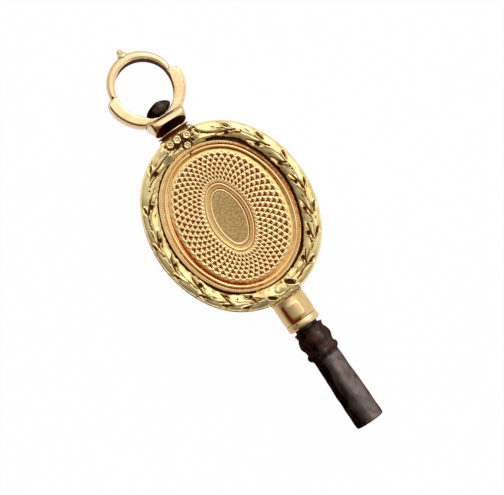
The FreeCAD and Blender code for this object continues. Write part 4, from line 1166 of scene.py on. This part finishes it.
def bow_ring():
    """The cast ring: D-shaped in section, on two leaf shoulders whose tips fold in to it."""
    steps = 960
    angle = np.arange(steps) * TURN / steps
    across, down = np.cos(angle), np.sin(angle)
    low, right = down < 0, across > 0

    def reach(centre_x, centre_y, radius):
        """From the eye's middle to a circle, in each direction."""
        dx, dy = -centre_x, EYE - centre_y
        middle = across * dx + down * dy
        return -middle + np.sqrt(np.maximum(middle ** 2 - dx * dx - dy * dy + radius ** 2, 0))

    def down_to(depth):
        return np.where(low, depth / np.maximum(-down, 1e-6), 99)

    inside = np.where(low, np.where(right, reach(-1, EYE, LEAF_ARC), reach(1, EYE, LEAF_ARC)),
                      EYE_RADIUS)
    inside = np.minimum(inside, down_to(EYE - FOOT_THICKNESS))
    bearing = np.degrees(np.arctan2(down, np.abs(across)))
    tip = np.where(right, 4.5, 9.5)
    fold = tip + 0.6
    rounding = (1 - np.clip((bearing - tip + 15) / 15, 0, 1) ** 2.6) ** 0.55
    ring, leaf_back = reach(0, RING_CENTRE, RING_RADIUS), reach(0, LEAF_CENTRE, LEAF_RADIUS)
    outside = ring + (leaf_back - ring) * np.where(bearing < tip, rounding, 0)
    outside -= 0.24 * bump_at(bearing, fold, 2.0) * (np.abs(across) > 0.5)
    outside = np.minimum(outside, down_to(EYE))

    # Rows from the inner edge (q = 0) to the outer one over the front
    q = np.array([0, 0.03, 0.08, *np.linspace(0.14, 0.9, 20), 0.94, 0.97, 0.99, 1.0])[:, None]
    wide = np.maximum(outside - inside, 1e-3)
    to_edge = (1 - q) * wide
    ring_front = RING_HALF_DEPTH * np.where(
        q > 0.35, np.sqrt(np.maximum(1 - (np.maximum(q - 0.35, 0) / 0.65) ** 3, 0)),
        0.84 + 0.16 * smooth(0, 0.35, q))
    line_cut = (np.where(across < 0, 1, 0.3) * bump_at(to_edge, 0.15, 0.065)
                * smooth(-72, -50, bearing) * fading(-4, 3, bearing))
    leaf_front = RING_HALF_DEPTH - LEAF_CORNER + LEAF_CORNER * np.sqrt(np.maximum(
        1 - np.clip(1 - to_edge / LEAF_CORNER, 0, 1) ** 2, 0)) - 0.12 * line_cut
    leaf_front -= 0.05 * fading(0, 0.2, q) + 0.05 * fading(0, 0.5, to_edge)
    leaf_share = fading(tip - 7, tip - 1, bearing)
    pocket = bump_at(bearing, fold - 5 * (1 - q), 1.7) * smooth(0.5, 0.72, q)
    radius = inside + wide * q
    front = ring_front + (leaf_front - ring_front) * leaf_share
    front -= 0.2 * pocket + 0.05 * leaf_share * (2 * q - 1) ** 2
    front += 0.012 * ripple(np.stack([radius * across, radius * down], -1), 2.2, 23)
    # Painted shade: the inner edge and inner wall darken towards the upper right, where they face
    # away from the lamps, over a little patina all round
    toward = 0.8 * across + 0.6 * down
    hollow = np.maximum(1.15 * line_cut * leaf_share, 1.3 * pocket)
    hollow = np.maximum(hollow, fading(0, 0.1, q) * (0.35 + 0.6 * smooth(-0.2, 0.5, toward)))
    hollow = np.maximum(hollow, 0.13 * leaf_share * right)

    def row(radius, height, mark):
        return row_of(radius * across, EYE + radius * down, height, mark)

    inner_wall_shade = 0.35 + 0.8 * smooth(-0.2, 0.4, toward)
    rows = [row(inside, part * front[0], inner_wall_shade) for part in (0, 0.5, 0.9)]
    rows += [row(*each) for each in zip(radius, front, hollow)]
    rows += [row(outside, part * front[-1], 0.15) for part in (0.66, 0.33)]
    behind = [upper * (1, 1, -1, 1) for upper in rows[:0:-1]]
    return lofted([*rows, row(outside, 0, 0.2), *behind], "hollow", closed=True)


def finial():
    """The small cone on top of the ring, with a rounded tip."""
    top = RING_CENTRE + RING_RADIUS
    rise = np.append(-0.5, np.linspace(-0.12, 0.90, 24))
    radius = (0.32 + 0.36 * np.exp(-np.maximum(rise, 0) / 0.33)) * np.sqrt(
        1 - np.clip((rise - 0.58) / 0.32, 0, 1) ** 2)
    return turned([(0, top - 0.5), *zip(radius, top + rise)], 48)


def collar():
    """The hollow collar: a flat foot under the shoulders that grows round at its mouth,
    which is arched up in front."""
    sides = 192
    angle = (np.arange(sides) + 0.5) * TURN / sides
    across, deep = np.cos(angle), np.sin(angle)
    front = deep > 0

    def section(half_width, half_depth, squareness):
        return np.stack([half_width * np.sign(across) * np.abs(across) ** (2 / squareness),
                         half_depth * np.sign(deep) * np.abs(deep) ** (2 / squareness)], 1)

    mouth = section(1, 1, np.where(front, 3.4, 2))
    foot = section(COLLAR_HALF_WIDTH, COLLAR_HALF_DEPTH, 12)
    rows = []

    def add(flat, height, hollow, arched=0.0):
        arch = 0.34 * np.maximum(deep, 0) ** 2
        rows.append(row_of(flat[:, 0], height + arched * arch, flat[:, 1], hollow))

    add(mouth * 0.47, 0, 0.8)
    add(foot * 0.985, 0, 0.9)
    add(foot, -0.03, 0.8)
    for part in np.linspace(0.05, 0.95, 18):
        flat = section(COLLAR_HALF_WIDTH - 0.35 * part,
                       COLLAR_HALF_DEPTH + 1.38 * (1 - (1 - part) ** 6),
                       np.where(front, 3.4 + 7 * (1 - part ** 2), 2 + 9 * (1 - part) ** 3))
        # Painted shade and a painted dark reflection down the left of the front; the foot row is a
        # dark seam
        left_crease_shade = bump_at(flat[:, 0], -2.16 + 0.2 * part, 0.11) * front
        fold = 0.5 * bump_at(flat[:, 0], -1.75 + 0.1 * part, 0.3) * (deep > 0.3)
        stain_and_painted_light = 0.85 * (part < 0.06) + np.maximum(
            left_crease_shade * smooth(0.0, 0.4, part) * 1.2, fold * smooth(0.25, 0.8, part))
        add(flat, -COLLAR_HEIGHT * part, np.clip(stain_and_painted_light, 0, 1.2), part ** 3)
    for size, height, hollow in ((2.07, -1.46, 0.3), (2.05, -1.49, 0.6),
                                 (1.98, -COLLAR_HEIGHT, 0.9), (1.85, -1.49, 1.1)):
        add(mouth * size, height, hollow, 1)
    for part in (0.25, 0.5, 0.75, 1.0):
        add(mouth * (1.8 - part), -1.44 + 1.09 * part, 1.3, 1 - part)
    add(mouth * 0.55, -0.35, 1.3)
    rows = np.stack(rows)
    rows[..., [0, 2]] *= (1 + 0.003 * ripple(rows[..., :3], 1.8, 17))[..., None]
    return lofted(rows, "hollow", closed=True)


def hammered(points, worn, **_):
    """Beats the rivet's head a little out of true, higher on one side."""
    x, y, z = points.T.copy()
    # The head keeps some of the paler mark, painted light on its right; the shank stays dark
    worn[:] = np.where(y > RIVET_HEAD, 0.6 * worn, -1)
    rise, lump = (y - RIVET_HEAD) / HEAD_HEIGHT, 0.05 * ripple(points, 1.1, 7)
    beaten = np.stack([
        x * (1 + 0.03 * lump) + 0.16 * rise ** 2 * (1 - np.abs(x) / 1.7),
        y + lump * rise * 0.8 + 0.07 * x * rise * (1 - np.abs(x) / 2.4), z * (1 + 0.4 * lump)], 1)
    head = y > RIVET_HEAD - 0.01
    points[head] = beaten[head]


rivet_line = drawn([
    (0, -4.92), (0.62, -4.64, "upright last"), (SHANK_RADIUS, -4.64), (SHANK_RADIUS, RIVET_HEAD),
    (1.61, RIVET_HEAD + 0.64, "level first"), (1.61, RIVET_HEAD + 0.86),
    (0, RIVET_HEAD + HEAD_HEIGHT, "level last"),
], 0.12, 0.07)
placed("bow_casting", joined([bow_ring(), finial()]), BOW, YELLOW_GOLD, "bow", "yellow_gold",
       "bow_ring")
placed("bow_collar_skin", collar(), BOW, YELLOW_GOLD, "bow", "yellow_gold", "bow_collar")
placed("rivet_hammered", turned(rivet_line, 80, shaped=hammered), RIVET, DARK_STEEL, "rivet",
       "dark_steel", "swivel_rivet")
for name, finish, slot in (("body_filler", CEMENT, "cement"),
                           ("rivet_burr", DARK_STEEL, "dark_steel")):
    part = frame["nodes"][name]
    part.data.materials.clear()
    part.data.materials.append(finish)


# ---- floor, light and camera

def floor():
    """A white floor that keeps the key's shadow."""
    mesh = bpy.data.meshes.new("floor")
    side = 1.2
    mesh.from_pydata([(-side, -side, 0), (side, -side, 0), (side, side, 0), (-side, side, 0)],
                     [], [(0, 1, 2, 3)])
    paper, wires = new_finish("white paper")
    rays = wires.node("ShaderNodeLightPath").outputs
    seen = wires.maths("MAXIMUM", rays["Is Camera Ray"], rays["Is Glossy Ray"])
    seen = wires.maths("MAXIMUM", seen, rays["Is Transmission Ray"])
    matt = wires.node("ShaderNodeBsdfDiffuse", {"Color": (0.8, 0.8, 0.8, 1)})
    glow = wires.node("ShaderNodeEmission", {"Strength": 1.0})
    both = wires.node("ShaderNodeMixShader", {
        0: wires.maths("MULTIPLY", seen, 0.98), 1: matt.outputs[0], 2: glow.outputs[0]})
    wires.node("ShaderNodeOutputMaterial", {0: both.outputs[0]})
    mesh.materials.append(paper)
    linked("floor", mesh)


def lamp(name, place, size, brightness, shape):
    """A soft lamp aimed at the key, of the brightness that a mirror would show."""
    light = bpy.data.lights.new(name, "AREA")
    light.shape, light.size = shape, size
    area = size ** 2 if shape == "SQUARE" else math.pi * size ** 2 / 4
    light.energy = brightness * math.pi * area
    thing = linked(name, light)
    thing.location = place
    thing.rotation_euler = (-Vector(place)).to_track_quat("-Z", "Y").to_euler()


def studio():
    """A plain studio: bright beyond the right and the top of the picture, dim opposite."""
    dim, bright, toward_light = 0.26, 0.92, (0.75, 0.66, 0.0)
    world = bpy.data.worlds.new("studio")
    world.use_nodes = True
    bpy.context.scene.world = world
    wires = Wiring(world.node_tree)
    way = wires.node("ShaderNodeTexCoord").outputs["Generated"]
    side = wires.node("ShaderNodeVectorMath", {0: way, 1: toward_light},
                      operation="DOT_PRODUCT").outputs["Value"]
    backdrop = wires.node("ShaderNodeBackground", {
        "Color": (1, 1, 1, 1), "Strength": wires.spread(side, -0.5, 0.3, dim, bright)})
    wires.node("ShaderNodeOutputWorld", {0: backdrop.outputs[0]})


floor()
lamp("large softbox", (0.255, 0.214, 0.372), 0.68, 0.60, "SQUARE")
lamp("key lamp", (0.306, 0.239, 0.245), 0.22, 1.6, "DISK")
studio()

# The photograph is taken from straight above, with the key's length 55.7 degrees off level
PIXEL, WIDE, DISTANCE = 0.1157 * MM, 504, 0.25
right, up = Vector((0.8261, -0.5635, 0)), Vector((0.5635, 0.8261, 0))
camera = bpy.data.cameras.new("photograph")
camera.sensor_fit = "HORIZONTAL"
camera.lens = camera.sensor_width * DISTANCE / (PIXEL * WIDE)
viewer = linked("photograph", camera)
middle = Vector((-0.03 * MM, -1.775 * MM, 3.2 * MM))
viewer.matrix_world = Matrix.Translation(middle + Vector((0, 0, DISTANCE))) @ Matrix(
    (right, up, Vector((0, 0, 1)))).transposed().to_4x4()
bpy.context.scene.camera = viewer
bpy.context.scene.view_settings.view_transform = "Standard"
